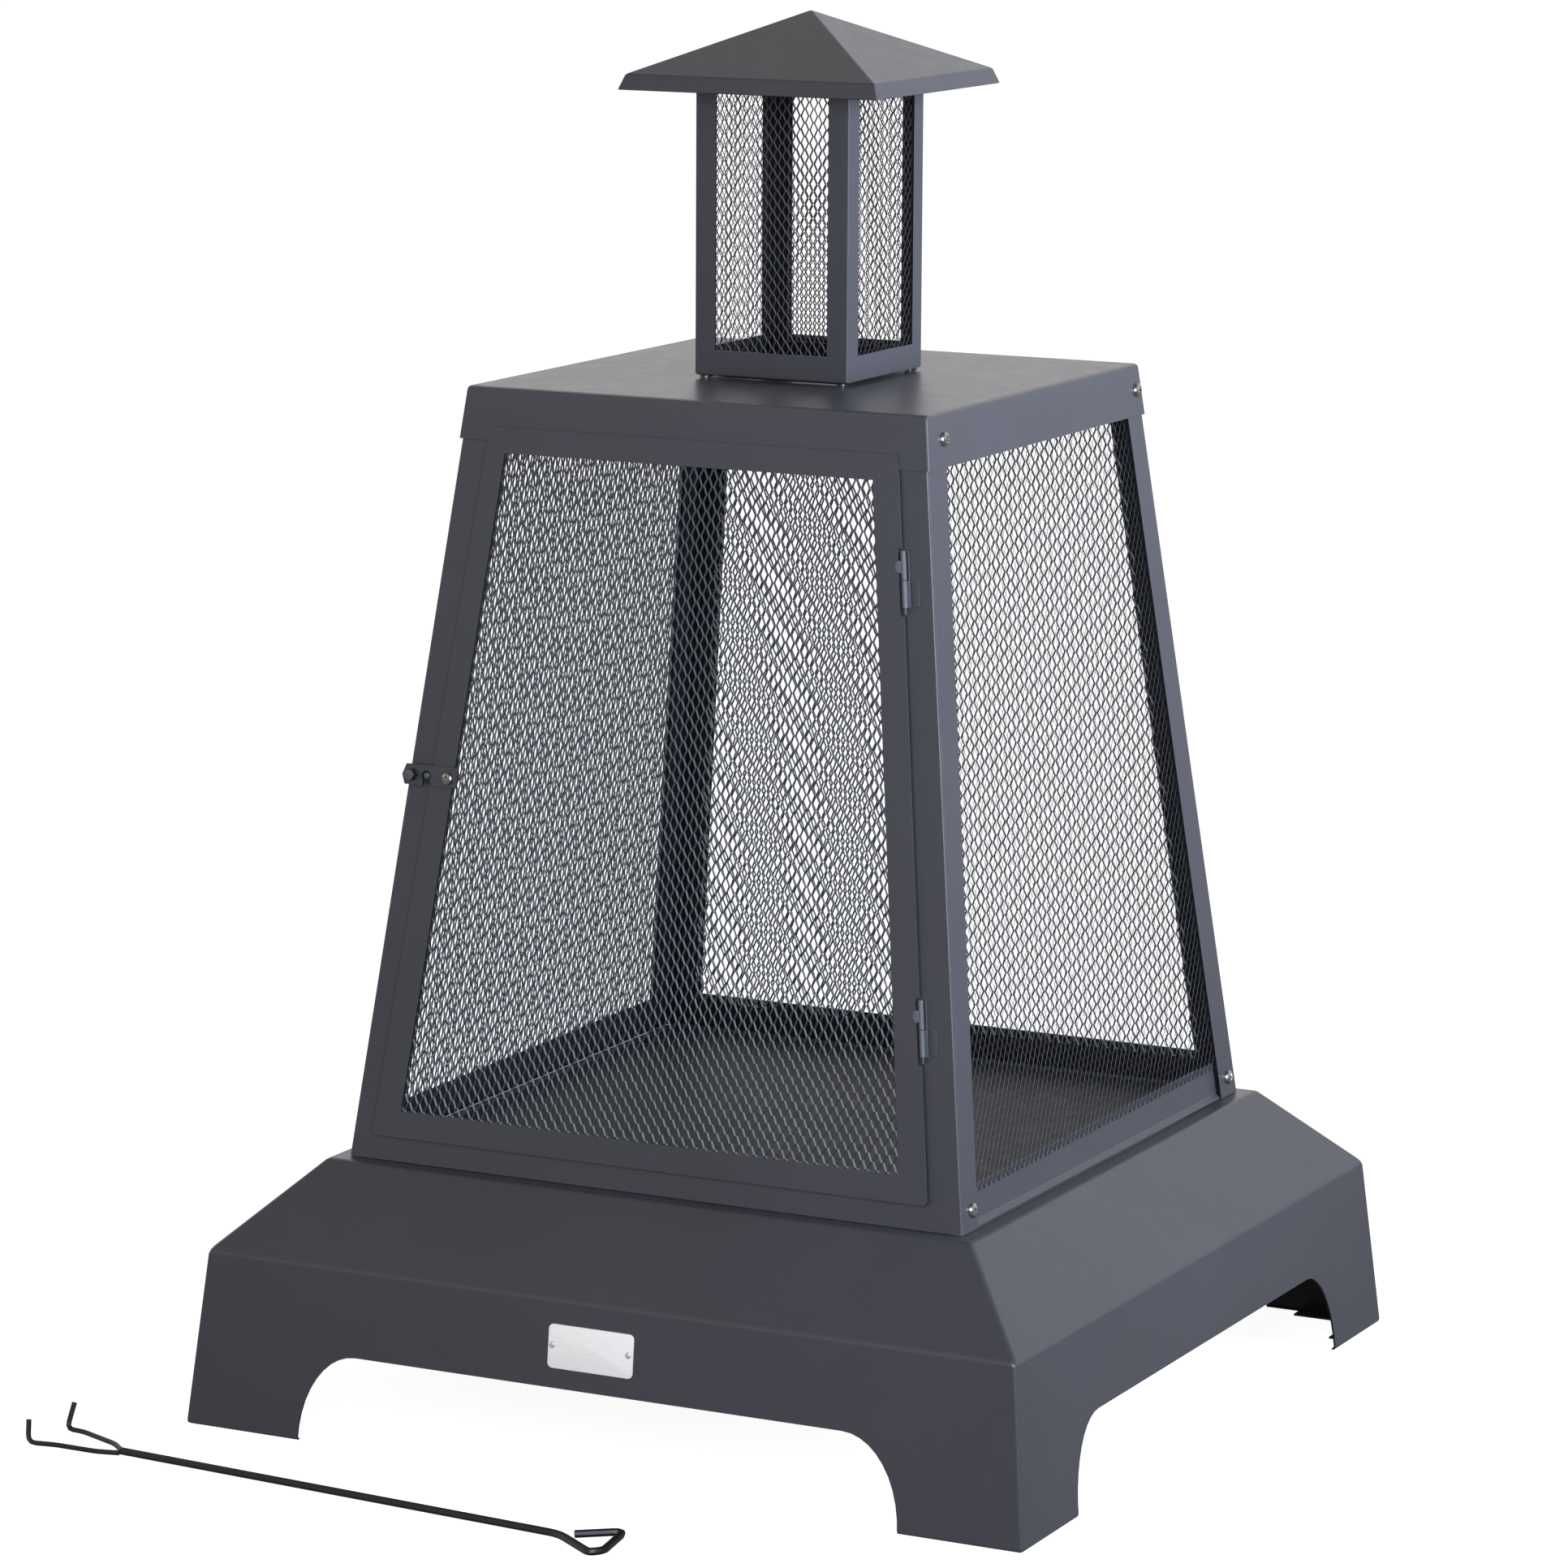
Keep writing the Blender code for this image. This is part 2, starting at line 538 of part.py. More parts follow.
# ---------------------------------------------------------------- firebox
def wall_skin(bottom, top, margin, depth, window):
    """Leaning sheet with a window, in the front wall's place; returns the bmesh and outer corners."""
    bm = bmesh.new()
    bmesh.ops.create_grid(bm, x_segments=1, y_segments=1, size=0.5)
    for vert in bm.verts:
        up = top if vert.co.y > 0 else bottom
        vert.co = on_wall(math.copysign(half_at(up) - margin, vert.co.x), up, -depth)
    inset = bmesh.ops.inset_region(bm, faces=bm.faces[:], thickness=0.01, use_boundary=True)["faces"]
    inner = next(face for face in bm.faces if face not in inset)
    outer = [vert for vert in bm.verts if vert not in inner.verts[:]]
    middle = (bottom + top) / 2
    for vert in inner.verts:
        low = vert.co.z < on_wall(0, middle, -depth).z
        corner = (0 if vert.co.x < 0 else 1) if low else (3 if vert.co.x < 0 else 2)
        vert.co = on_wall(*window[corner], -depth)
    bmesh.ops.delete(bm, geom=[inner], context="FACES_ONLY")
    return bm, outer


def fold_edge(bm, verts, move):
    """Extrude the edge between two corners and move the new corners."""
    edge = next(e for e in bm.edges if set(e.verts) == set(verts))
    grown_edge = bmesh.ops.extrude_edge_only(bm, edges=[edge])["geom"]
    for item in grown_edge:
        if isinstance(item, bmesh.types.BMVert):
            item.co = move(item.co.copy())


def wrapped_panel(name, turns, window, wrap):
    """Front or back panel: its long edges fold round onto the sides."""
    bm, outer = wall_skin(PANEL_BOTTOM, PANEL_TOP, 0.0, 0.0, window)
    low_z, high_z = on_wall(0, PANEL_BOTTOM).z, on_wall(0, PANEL_TOP).z

    def onto_side(point):
        share = (point.z - low_z) / (high_z - low_z)
        return point + Vector((0, wrap[0] + (wrap[1] - wrap[0]) * share, 0))

    for sign in (-1, 1):
        fold_edge(bm, [vert for vert in outer if vert.co.x * sign > 0], onto_side)
    bmesh.ops.recalc_face_normals(bm, faces=bm.faces)
    panel = put(name, mesh_from(bm, name), COAT, quarter(turns))
    bend_and_thicken(panel, PANEL_FOLD, segments=3)
    combine(panel, CORNER_HOLES, "DIFFERENCE")
    return panel


def between_wraps(up, turns):
    """Ends of the width of a side that the front and the back panel leave clear."""
    share = (up - PANEL_BOTTOM) / (PANEL_TOP - PANEL_BOTTOM)
    front = half_at(up) - (FRONT_WRAP[0] + (FRONT_WRAP[1] - FRONT_WRAP[0]) * share)
    back = half_at(up) - (BACK_WRAP[0] + (BACK_WRAP[1] - BACK_WRAP[0]) * share)
    return (-front, back) if turns == 1 else (-back, front)


def side_window(turns):
    """Window of a side panel: it ends at the wraps of the front and the back panel."""
    low_left, low_right = between_wraps(WINDOW_BOTTOM, turns)
    high_left, high_right = between_wraps(WINDOW_TOP, turns)
    return [(low_left, WINDOW_BOTTOM), (low_right, WINDOW_BOTTOM),
            (high_right, WINDOW_TOP), (high_left, WINDOW_TOP)]


def side_panel(name, turns):
    """Side panel inside the wraps; between them its foot is kicked out onto the deck."""
    bm, outer = wall_skin(SIDE_BOTTOM, SIDE_TOP, SIDE_MARGIN, SIDE_DEPTH, side_window(turns))
    left, right = sorted(sorted(outer, key=lambda v: v.co.z)[:2], key=lambda v: v.co.x)
    foot = []
    for start, end, x in ((left, right, between_wraps(SIDE_BOTTOM, turns)[0] + SIDE_LIP_GAP),
                          (right, left, between_wraps(SIDE_BOTTOM, turns)[1] - SIDE_LIP_GAP)):
        edge = next(e for e in start.link_edges if abs(e.other_vert(start).co.z - start.co.z) < GAP)
        share = (x - start.co.x) / (edge.other_vert(start).co.x - start.co.x)
        foot.append(bmesh.utils.edge_split(edge, start, share)[1])
    fold_edge(bm, foot, lambda p: on_wall(p.x, SIDE_LIP_END, -SIDE_LIP_DEPTH))
    bmesh.ops.recalc_face_normals(bm, faces=bm.faces)
    panel = put(name, mesh_from(bm, name), COAT, quarter(turns))
    bend_and_thicken(panel, SIDE_FOLD)
    combine(panel, CORNER_HOLES, "DIFFERENCE")


def firebox_mesh(name, turns, window, outline, depth, on=CENTRE_LINE):
    """Mesh sheet of a firebox wall; depth is how far inside the wall's face it lies."""
    sheet = diamond_sheet(name, outline, grown(window, -MESH_RIM), FIREBOX_DIAMOND)
    put(name, sheet, MESH_PAINT, wall_frame(0, 0, -depth - MESH_THICK / 2, turns), on)


def make_firebox():
    """Four walls with their windows, mesh and screws, and the hearth plate on the floor."""
    wrapped_panel("front_panel", 0, grown(DOOR_WINDOW, OPENING_MARGIN), FRONT_WRAP)
    back_low = half_at(WINDOW_BOTTOM) - BACK_WRAP[0]
    back_high = half_at(WINDOW_TOP) - BACK_WRAP[1]
    back_window = [(-back_low, WINDOW_BOTTOM), (back_low, WINDOW_BOTTOM), (back_high, WINDOW_TOP),
                   (-back_high, WINDOW_TOP)]
    wrapped_panel("back_panel", 2, back_window, BACK_WRAP)
    firebox_mesh("back_mesh", 2, back_window, grown(back_window, BACK_MESH_LAP), MESH_DEPTH)
    for side, turns in SIDES.items():
        side_panel(f"{side}_panel", turns)
        window = side_window(turns)
        outline = grown(window, MESH_LAP)
        for i, up in ((0, MESH_BOTTOM), (1, MESH_BOTTOM), (2, MESH_TOP), (3, MESH_TOP)):
            outline[i] = (outline[i][0], up)
        firebox_mesh(f"{side}_mesh", turns, window, outline, MESH_DEPTH)
    for name, place in CORNER_SCREWS.items():
        put_turned(name, pan_head(*CORNER_SCREW), NICKEL, place)
    rings = [(HEARTH_HALF, HEARTH_Z), (HEARTH_HALF + HEARTH_FLARE, HEARTH_Z + HEARTH_RIM)]
    hearth = put("hearth_plate", mesh_from(square_sheet(rings, floor=True), "hearth_plate"), COAT)
    bend_and_thicken(hearth, HEARTH_FOLD)
    combine(hearth, HEARTH_HOLES, "DIFFERENCE")
    for name, place in HEARTH_BOLTS.items():
        put_turned(name, pan_head(*HEARTH_BOLT), COAT, place)


# ---------------------------------------------------------------- door, hinges and latch
def door_edge(up):
    """The door's right edge at a height up the slope."""
    (low_x, low_up), (high_x, high_up) = DOOR_OUTLINE[1], DOOR_OUTLINE[2]
    return low_x + (high_x - low_x) * (up - low_up) / (high_up - low_up)


EDGE_TILT = math.atan2(door_edge(0.5) - door_edge(0.0), 0.5)


def hinge_frame(up):
    """Frame on the hinge line: Z up along the axis, X to the right in the wall's plane."""
    flat = Matrix.Rotation(-EDGE_TILT, 4, "Z") @ Matrix.Rotation(-math.pi / 2, 4, "X")
    return wall_frame(door_edge(up) + HINGE_OFFSET, up, HINGE_STANDOFF) @ flat


DOOR_HINGE = carrier("door_hinge_axis", hinge_frame(HINGE_HEIGHTS["lower"]))
LATCH_CENTRE = carrier("latch_pivot_axis", wall_frame(*LATCH_PIVOT))


def door_outline():
    """Outer edge of the door, with a notch at each hinge."""
    points = rounded(DOOR_OUTLINE, DOOR_CORNER)
    right_low = 2 * (CORNER_STEPS + 1)
    notched = points[:right_low]
    for up in (HINGE_HEIGHTS["lower"], HINGE_HEIGHTS["upper"]):
        low, high = up - LOWER_KNUCKLE - PIN_TAIL - NOTCH_BELOW, up + UPPER_KNUCKLE + NOTCH_ABOVE
        notched += [(door_edge(low), low), (door_edge(low) - NOTCH_DEPTH, low),
                    (door_edge(high) - NOTCH_DEPTH, high), (door_edge(high), high)]
    return notched + points[right_low:]


def make_door():
    """Door frame, its mesh and the strip that holds the mesh."""
    thickness = DOOR_FACE - DOOR_BACK
    outlines = [door_outline(), list(DOOR_WINDOW), circle(*LATCH_PIVOT, PIVOT_HOLE)]
    put("door_frame", outline_curve("door_frame", outlines, thickness), COAT,
        wall_frame(0, 0, (DOOR_FACE + DOOR_BACK) / 2), DOOR_HINGE)
    firebox_mesh("door_mesh", 0, DOOR_WINDOW, grown(DOOR_WINDOW, RETAINER_MARGIN), GAP - DOOR_BACK,
                 DOOR_HINGE)
    strip_face = DOOR_BACK - 2 * GAP - MESH_THICK
    strip = outline_curve("door_mesh_strip", [grown(DOOR_WINDOW, RETAINER_MARGIN), list(DOOR_WINDOW)], SHEET)
    put("door_mesh_strip", strip, COAT, wall_frame(0, 0, strip_face - SHEET / 2), DOOR_HINGE)


def tab_outline():
    """Tab beside the upper knuckle, seen from behind the door: a straight neck, then a half oval."""
    middle, half = (TAB_BOTTOM + TAB_TOP) / 2, (TAB_TOP - TAB_BOTTOM) / 2
    oval = [(TAB_NECK + TAB_ROUND * x, middle + half * y) for x, y in arc(0, 0, 1, -90, 90, 6)]
    return [(0, TAB_BOTTOM)] + oval + [(0, TAB_TOP)]


def make_hinge(which, up):
    """Knuckle and tab on the door, knuckle and leaf on the front panel, and the pin."""
    axis = hinge_frame(up)
    bore = tool(f"{which}_bore", cylinder_mesh("bore", BARREL_BORE, -BORE_REACH, BORE_REACH), axis)

    knuckle = cylinder_mesh("knuckle", BARREL_RADIUS, GAP, UPPER_KNUCKLE)
    door_side = put(f"{which}_hinge_door_knuckle", knuckle, COAT, axis, DOOR_HINGE, smooth=True)
    from_behind = Matrix.Rotation(math.pi, 4, "Z") @ UPRIGHT
    lift = Matrix.Translation((0, HINGE_STANDOFF - DOOR_FACE - GAP - TAB_THICK / 2, 0))
    tab = tool(f"{which}_tab", prism("tab", tab_outline(), TAB_THICK), axis @ lift @ from_behind)
    combine(door_side, tab, "UNION")
    combine(door_side, bore, "DIFFERENCE")

    frame_side = put(f"{which}_hinge_frame_leaf", cylinder_mesh("leaf", BARREL_RADIUS, -LOWER_KNUCKLE, -GAP),
                     COAT, axis, smooth=True)
    back = HINGE_STANDOFF - GAP
    face = back - LEAF_THICK
    blocks = {"web": ((WEB_START, face - GAP, -LOWER_KNUCKLE), (WEB_END, back, -GAP)),
              "leaf": ((LEAF_START, face, -LOWER_KNUCKLE), (LEAF_END, back, UPPER_KNUCKLE)),
              "riser": ((WEB_START, -GAP, -LOWER_KNUCKLE), (RISER_END, back - GAP, -GAP))}
    for name, (low, high) in blocks.items():
        combine(frame_side, tool(f"{which}_{name}", box_mesh(name, low, high), axis), "UNION")
    combine(frame_side, bore, "DIFFERENCE")

    pin = cylinder_mesh("pin", PIN_RADIUS, -LOWER_KNUCKLE - PIN_TAIL, UPPER_KNUCKLE - PIN_SUNK)
    put(f"{which}_hinge_pin", pin, COAT, axis, smooth=True)


def latch_outline():
    """Bar with a pointed end and a slot, open downwards, that drops over the stud."""
    below = math.degrees(math.acos(SLOT_THROAT / SLOT_RADIUS))
    slot = arc(SLOT_X, SLOT_Y, SLOT_RADIUS, 180 + below, -below, SLOT_STEPS)
    top = [(LATCH_RIGHT, LATCH_TOP - LATCH_EASE), (LATCH_RIGHT - LATCH_EASE, LATCH_TOP)]
    tip = [(LATCH_TIP + TIP_HIGH, LATCH_TOP), (LATCH_TIP, TIP_Y), (LATCH_TIP + TIP_LOW, LATCH_BOTTOM)]
    return (top + tip + [(SLOT_X - SLOT_THROAT, LATCH_BOTTOM)] + slot
            + [(SLOT_MOUTH, LATCH_BOTTOM), (LATCH_RIGHT - LATCH_EASE, LATCH_BOTTOM)])


def make_latch():
    """Drop latch with a hexagonal knob on the door, and the plain stud on the front panel."""
    outlines = [latch_outline(), circle(0, 0, PIVOT_HOLE)]
    face = wall_frame(*LATCH_PIVOT, (LATCH_BACK + LATCH_FACE) / 2)
    put("latch_bar", outline_curve("latch_bar", outlines, LATCH_FACE - LATCH_BACK), COAT, face, LATCH_CENTRE)
    knob = outline_curve("latch_knob", [circle(0, 0, KNOB_RADIUS, 6)], KNOB_LENGTH)
    knob_middle = LATCH_FACE + GAP + KNOB_LENGTH / 2
    knob_place = wall_frame(LATCH_PIVOT[0] + KNOB_X, LATCH_PIVOT[1] + KNOB_Y, knob_middle)
    put("latch_knob", knob, COAT, knob_place, LATCH_CENTRE)
    screw_place = wall_frame(*LATCH_PIVOT, LATCH_FACE + GAP)
    put_turned("latch_pivot_screw", pan_head(*LATCH_SCREW), NICKEL, screw_place, DOOR_HINGE)
    stud = [(0, STUD_HEIGHT), (STUD_FLAT, STUD_HEIGHT - GAP), (STUD_RADIUS, STUD_SHOULDER),
            (STUD_RADIUS, 0), (0, 0)]
    put_turned("latch_stud", stud, COAT, wall_frame(LATCH_PIVOT[0] + STUD_X, LATCH_PIVOT[1] + STUD_Y, GAP))


# ---------------------------------------------------------------- lid, chimney and roof
def make_lid():
    """Shallow hood over the walls, with a square flue hole."""
    rings = [(LID_BOTTOM_HALF, LID_BOTTOM_Z), (LID_TOP_HALF, LID_TOP_Z), (FLUE_HALF, LID_TOP_Z)]
    lid = put("lid", mesh_from(square_sheet(rings), "lid"), COAT)
    bend_and_thicken(lid, LID_FOLD)
    combine(lid, CORNER_HOLES, "DIFFERENCE")
    combine(lid, CHIMNEY_HOLES, "DIFFERENCE")


def make_chimney():
    """Square tube with a window in each side, a mesh behind each window, on four screws."""
    rings = [(FLUE_HALF, CHIMNEY_BOTTOM_Z), (CHIMNEY_HALF, CHIMNEY_BOTTOM_Z), (CHIMNEY_HALF, CHIMNEY_TOP_Z)]
    tube = put("chimney_frame", mesh_from(square_sheet(rings), "chimney_frame"), COAT)
    bend_and_thicken(tube, CHIMNEY_FOLD)
    low, high = CHIMNEY_WINDOW_Z
    reach = 2 * CHIMNEY_HALF
    for turns in (0, 1):
        cut = box_mesh("window", (-CHIMNEY_WINDOW_HALF, -reach, low), (CHIMNEY_WINDOW_HALF, reach, high))
        combine(tube, tool(f"chimney_window_{turns}", cut, quarter(turns)), "DIFFERENCE")
    combine(tube, CHIMNEY_HOLES, "DIFFERENCE")
    half, middle = CHIMNEY_WINDOW_HALF, (low + high) / 2
    window = [(-half, low - middle), (half, low - middle), (half, high - middle), (-half, high - middle)]
    outline = grown(window, CHIMNEY_MESH_LAP)
    depth = CHIMNEY_HALF - SHEET - GAP - MESH_THICK / 2
    for turns, side in enumerate(("front", "right", "back", "left")):
        name = f"chimney_mesh_{side}"
        sheet = diamond_sheet(name, outline, grown(window, -MESH_RIM), CHIMNEY_DIAMOND)
        put(name, sheet, MESH_PAINT, quarter(turns) @ Matrix.Translation((0, -depth, middle)) @ UPRIGHT)
    ring = [circle(0, 0, WASHER_RADIUS), circle(0, 0, CHIMNEY_DRILL[0])]
    for name, place in CHIMNEY_SCREWS.items():
        put_turned(f"chimney_screw_{name}", pan_head(*CHIMNEY_SCREW), NICKEL, place)
        washer = outline_curve(name, ring, WASHER_THICK)
        down = Matrix.Translation((0, 0, -SHEET - GAP - (CHIMNEY_BOTTOM_Z - LID_TOP_Z) / 2))
        put(f"chimney_washer_{name}", washer, NICKEL, place @ down)


def make_roof():
    """Pyramid cap with a turned-down eave, held by a stud through a bar across the chimney."""
    rings = [(EAVE_HALF, EAVE_Z), (ROOF_HALF, ROOF_Z), (0.0, APEX_Z)]
    roof = put("roof_cap", mesh_from(square_sheet(rings), "roof_cap"), COAT)
    bend_and_thicken(roof, ROOF_FOLD)
    half, width = CHIMNEY_HALF - SHEET - GAP, ROOF_BAR_WIDTH / 2
    hole = circle(0, 0, ROOF_STUD_HOLE)
    corners = [(-half, -width), (half, -width), (half, width), (-half, width)]
    bar = outline_curve("roof_bar", [corners, hole], ROOF_BAR_THICK)
    put("roof_bar", bar, COAT, Matrix.Translation((0, 0, ROOF_BAR_Z)))
    stud = cylinder_mesh("roof_stud", ROOF_STUD_RADIUS, ROOF_STUD_LOW, APEX_Z - ROOF_STUD_SUNK)
    put("roof_stud", stud, NICKEL, smooth=True)
    nut = outline_curve("roof_nut", [circle(0, 0, ROOF_NUT_RADIUS, 6), hole], ROOF_NUT_HEIGHT)
    nut_z = ROOF_BAR_Z - ROOF_BAR_THICK / 2 - GAP - ROOF_NUT_HEIGHT / 2
    put("roof_nut", nut, NICKEL, Matrix.Translation((0, 0, nut_z)))


# ---------------------------------------------------------------- poker
def wire(name, points, radius):
    """Round wire through points, its corners eased by short chamfers."""
    curve = bpy.data.curves.new(name, "CURVE")
    curve.dimensions = "3D"
    curve.bevel_depth = radius
    curve.bevel_resolution = 2
    curve.use_fill_caps = True
    eased = [Vector(points[0])]
    for before, corner, after in zip(points, points[1:], points[2:]):
        before, corner, after = Vector(before), Vector(corner), Vector(after)
        reach = min((corner - before).length, (after - corner).length) * BEND_SHARE
        reach = min(reach, BEND_RADII * radius)
        start = corner + (before - corner).normalized() * reach
        end = corner + (after - corner).normalized() * reach
        for share in (0.0, 0.33, 0.67, 1.0):
            eased.append(start.lerp(corner, share).lerp(corner.lerp(end, share), share))
    eased.append(Vector(points[-1]))
    spline = curve.splines.new("POLY")
    spline.points.add(len(eased) - 1)
    for point, where in zip(spline.points, eased):
        point.co = (*where, 1)
    return curve


def make_poker():
    """Two-pronged poker on the ground: rod with a triangular loop, and a prong welded beside it."""
    place = carrier("poker_rest", Matrix.Translation(POKER_MIDDLE))
    rod = [(x, y, ROD_RADIUS) for x, y in ROD_ROUTE]
    put("poker_rod", wire("poker_rod", rod, ROD_RADIUS), BLACK_STEEL, on=place)
    for side, route, tip in (("near", NEAR_PRONG, NEAR_TIP), ("far", FAR_PRONG, FAR_TIP)):
        name = f"poker_prong_{side}"
        points = [(x, y, PRONG_RADIUS) for x, y in route] + [tip]
        put(name, wire(name, points, PRONG_RADIUS), BLACK_STEEL, on=place)


make_pedestal()
make_name_plate()
make_firebox()
make_door()
for hinge, height in HINGE_HEIGHTS.items():
    make_hinge(hinge, height)
make_latch()
make_lid()
make_chimney()
make_roof()
make_poker()
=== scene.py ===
"""Square steel garden chiminea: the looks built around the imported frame.

Metres, +Z up, the ground at z = 0.  The door faces -Y.
"""
import json
import math
import bmesh  # noqa: E402
import bpy  # noqa: E402
from mathutils import Matrix, Vector  # noqa: E402


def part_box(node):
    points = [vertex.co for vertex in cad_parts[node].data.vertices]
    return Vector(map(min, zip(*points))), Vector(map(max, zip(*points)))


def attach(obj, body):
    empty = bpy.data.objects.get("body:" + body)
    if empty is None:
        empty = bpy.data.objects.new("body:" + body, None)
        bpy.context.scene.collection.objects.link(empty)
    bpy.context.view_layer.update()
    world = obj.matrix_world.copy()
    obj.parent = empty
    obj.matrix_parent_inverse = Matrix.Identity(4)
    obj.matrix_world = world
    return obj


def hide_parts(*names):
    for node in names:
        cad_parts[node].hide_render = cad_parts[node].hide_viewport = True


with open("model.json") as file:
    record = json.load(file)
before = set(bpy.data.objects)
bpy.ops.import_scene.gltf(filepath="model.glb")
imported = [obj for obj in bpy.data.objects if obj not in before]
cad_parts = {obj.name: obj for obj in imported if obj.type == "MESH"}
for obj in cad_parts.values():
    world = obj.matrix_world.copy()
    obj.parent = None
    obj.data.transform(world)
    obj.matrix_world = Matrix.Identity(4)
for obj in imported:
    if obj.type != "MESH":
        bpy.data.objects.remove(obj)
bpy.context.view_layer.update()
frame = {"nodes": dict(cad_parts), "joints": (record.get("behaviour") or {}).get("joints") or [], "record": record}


# ---------------------------------------------------------------- frames on the walls
def middle_of(name):
    """Middle of a CAD node's box."""
    low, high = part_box(name)
    return (low + high) / 2


CENTRE = Vector((middle_of("pedestal").x, middle_of("pedestal").y, 0.0))
WALL_HALF, WALL_Z = 0.2577, 0.2026            # half the firebox's width at its foot, and that height
LID_LINE_HALF, LID_LINE_Z = 0.1939, 0.7464    # the same under the lid
LEAN = math.atan((WALL_HALF - LID_LINE_HALF) / (LID_LINE_Z - WALL_Z))
FRONT, RIGHT, BACK, LEFT = 0, 1, 2, 3
SIDES = ("front", "right", "back", "left")
UPRIGHT = Matrix.Rotation(math.pi / 2, 4, "X")
SKIRT_RUN, SKIRT_RISE = 0.0134, 0.135         # slope of the pedestal's skirt


def quarter(turns):
    """Turn about the chiminea's centre line: 0 front, 1 right, 2 back, 3 left."""
    return Matrix.Translation(CENTRE) @ Matrix.Rotation(math.radians(90 * turns), 4, "Z")


def wall_face(turns):
    """Frame on a wall: X across, Y up the slope, Z out of the face, the origin at the middle of its foot."""
    foot = Matrix.Translation((0, -WALL_HALF, WALL_Z))
    return quarter(turns) @ foot @ Matrix.Rotation(math.pi / 2 - LEAN, 4, "X")


def chimney_face(turns):
    """Upright frame on a side of the chimney: X across, Y up, Z outwards, its origin on the centre line."""
    return quarter(turns) @ UPRIGHT


WALL_FACES = [wall_face(turns) for turns in (FRONT, RIGHT, BACK, LEFT)]
SKIRT_FACE = quarter(FRONT) @ Matrix.Rotation(math.pi / 2 - math.atan(SKIRT_RUN / SKIRT_RISE), 4, "X")


def vertices_in(name, place):
    """Corners of a CAD node in a frame."""
    return [place.inverted() @ v.co for v in frame["nodes"][name].data.vertices]


# ---------------------------------------------------------------- materials
INNER_SHADE = 0.27                                   # painted shade inside the firebox: how much of the tone and gloss is left on the inner faces
INNER_SHADE_REACH = 0.030                            # inner faces this far from the centre line get the full painted shade
TEXTURE_MIDDLE = (0.3, 0.7)                   # where nearly all of a noise's values lie

# powder coat: noise scale, detail and roughness; a bump's strength and depth come after its noise
CLOUDS, GLOSS_CLOUDS = (9.0, 4.0, 0.55), (55.0, 3.0)
PEEL, GRAINS = ((900.0, 1.5), 0.14, 0.00012), ((2600.0, 1.0), 0.16, 0.00008)
TONE_PLACES = (0.30, 0.5, 0.72)               # where the dark, middle and light tones lie in the noise
CLEAR_ROUGHNESS = 0.30

# plating and brushed metal: noise as above, and strength and depth of the marks
PLATING_CLOUDS, PLATING_GLOSS, PLATING_PLACES = (260.0, 3.0), (900.0, 2.0), (0.35, 0.65)
TURNING_MARKS = (0.10, 0.00006)
STREAKS, STREAK_SQUEEZE, STREAK_MARKS = (2600.0, 3.0, 0.7), (0.03, 1.0, 1.0), (0.15, 0.00005)
PLATING_DULL, BRUSHED_DULL = 0.78, 0.86       # the darker tone's share of the lighter one


def node(tree, kind, **settings):
    """Add a node; settings that start with set_ are its attributes, and the others are its sockets."""
    made = tree.nodes.new(kind)
    for key, value in settings.items():
        if key.startswith("set_"):
            setattr(made, key[4:], value)
        else:
            made.inputs[key.replace("_", " ")].default_value = value
    return made


def shader_of(name):
    """A new material, its tree and its Principled shader."""
    made = bpy.data.materials.new(name)
    made.use_nodes = True
    return made, made.node_tree, made.node_tree.nodes["Principled BSDF"]


def ramp(tree, source, stops):
    """Colour ramp fed by a texture; stops are (place, colour)."""
    made = tree.nodes.new("ShaderNodeValToRGB")
    for element, (place, colour) in zip(made.color_ramp.elements, (stops[0], stops[-1])):
        element.position = place
        element.color = (*colour, 1)
    for place, colour in stops[1:-1]:
        made.color_ramp.elements.new(place).color = (*colour, 1)
    tree.links.new(source, made.inputs["Fac"])
    return made.outputs["Color"]


def mapped(tree, source, given, wanted):
    """Map a value from a given range to a wanted one, held at both ends."""
    made = node(tree, "ShaderNodeMapRange", From_Min=given[0], From_Max=given[1], To_Min=wanted[0],
                To_Max=wanted[1])
    tree.links.new(source, made.inputs["Value"])
    return made.outputs["Result"]


def vector_step(tree, operation, first, second, output="Vector"):
    """Vector maths on two sockets; the second may be a constant."""
    made = node(tree, "ShaderNodeVectorMath", set_operation=operation)
    tree.links.new(first, made.inputs[0])
    if isinstance(second, bpy.types.NodeSocket):
        tree.links.new(second, made.inputs[1])
    else:
        made.inputs[1].default_value = second
    return made.outputs[output]


def noise(tree, coords, scale, detail=2.0, roughness=0.5):
    """Noise texture on the object's coordinates."""
    made = node(tree, "ShaderNodeTexNoise", Scale=scale, Detail=detail, Roughness=roughness)
    tree.links.new(coords, made.inputs["Vector"])
    return made.outputs["Fac"]


def bump(tree, height, strength, distance, under=None):
    """Bump from a height, over another normal if there is one."""
    made = node(tree, "ShaderNodeBump", Strength=strength, Distance=distance)
    tree.links.new(height, made.inputs["Height"])
    if under:
        tree.links.new(under, made.inputs["Normal"])
    return made.outputs["Normal"]


def outward_share(tree, coords, normal):
    """1 on the faces that look away from the chiminea's centre line and the painted shade's share on the inner
    ones.
    """
    outwards = vector_step(tree, "SUBTRACT", coords, CENTRE)
    level = vector_step(tree, "MULTIPLY", outwards, (1.0, 1.0, 0.0))
    facing = vector_step(tree, "DOT_PRODUCT", level, normal, "Value")
    return mapped(tree, facing, (-INNER_SHADE_REACH, 0.0), (INNER_SHADE, 1.0))


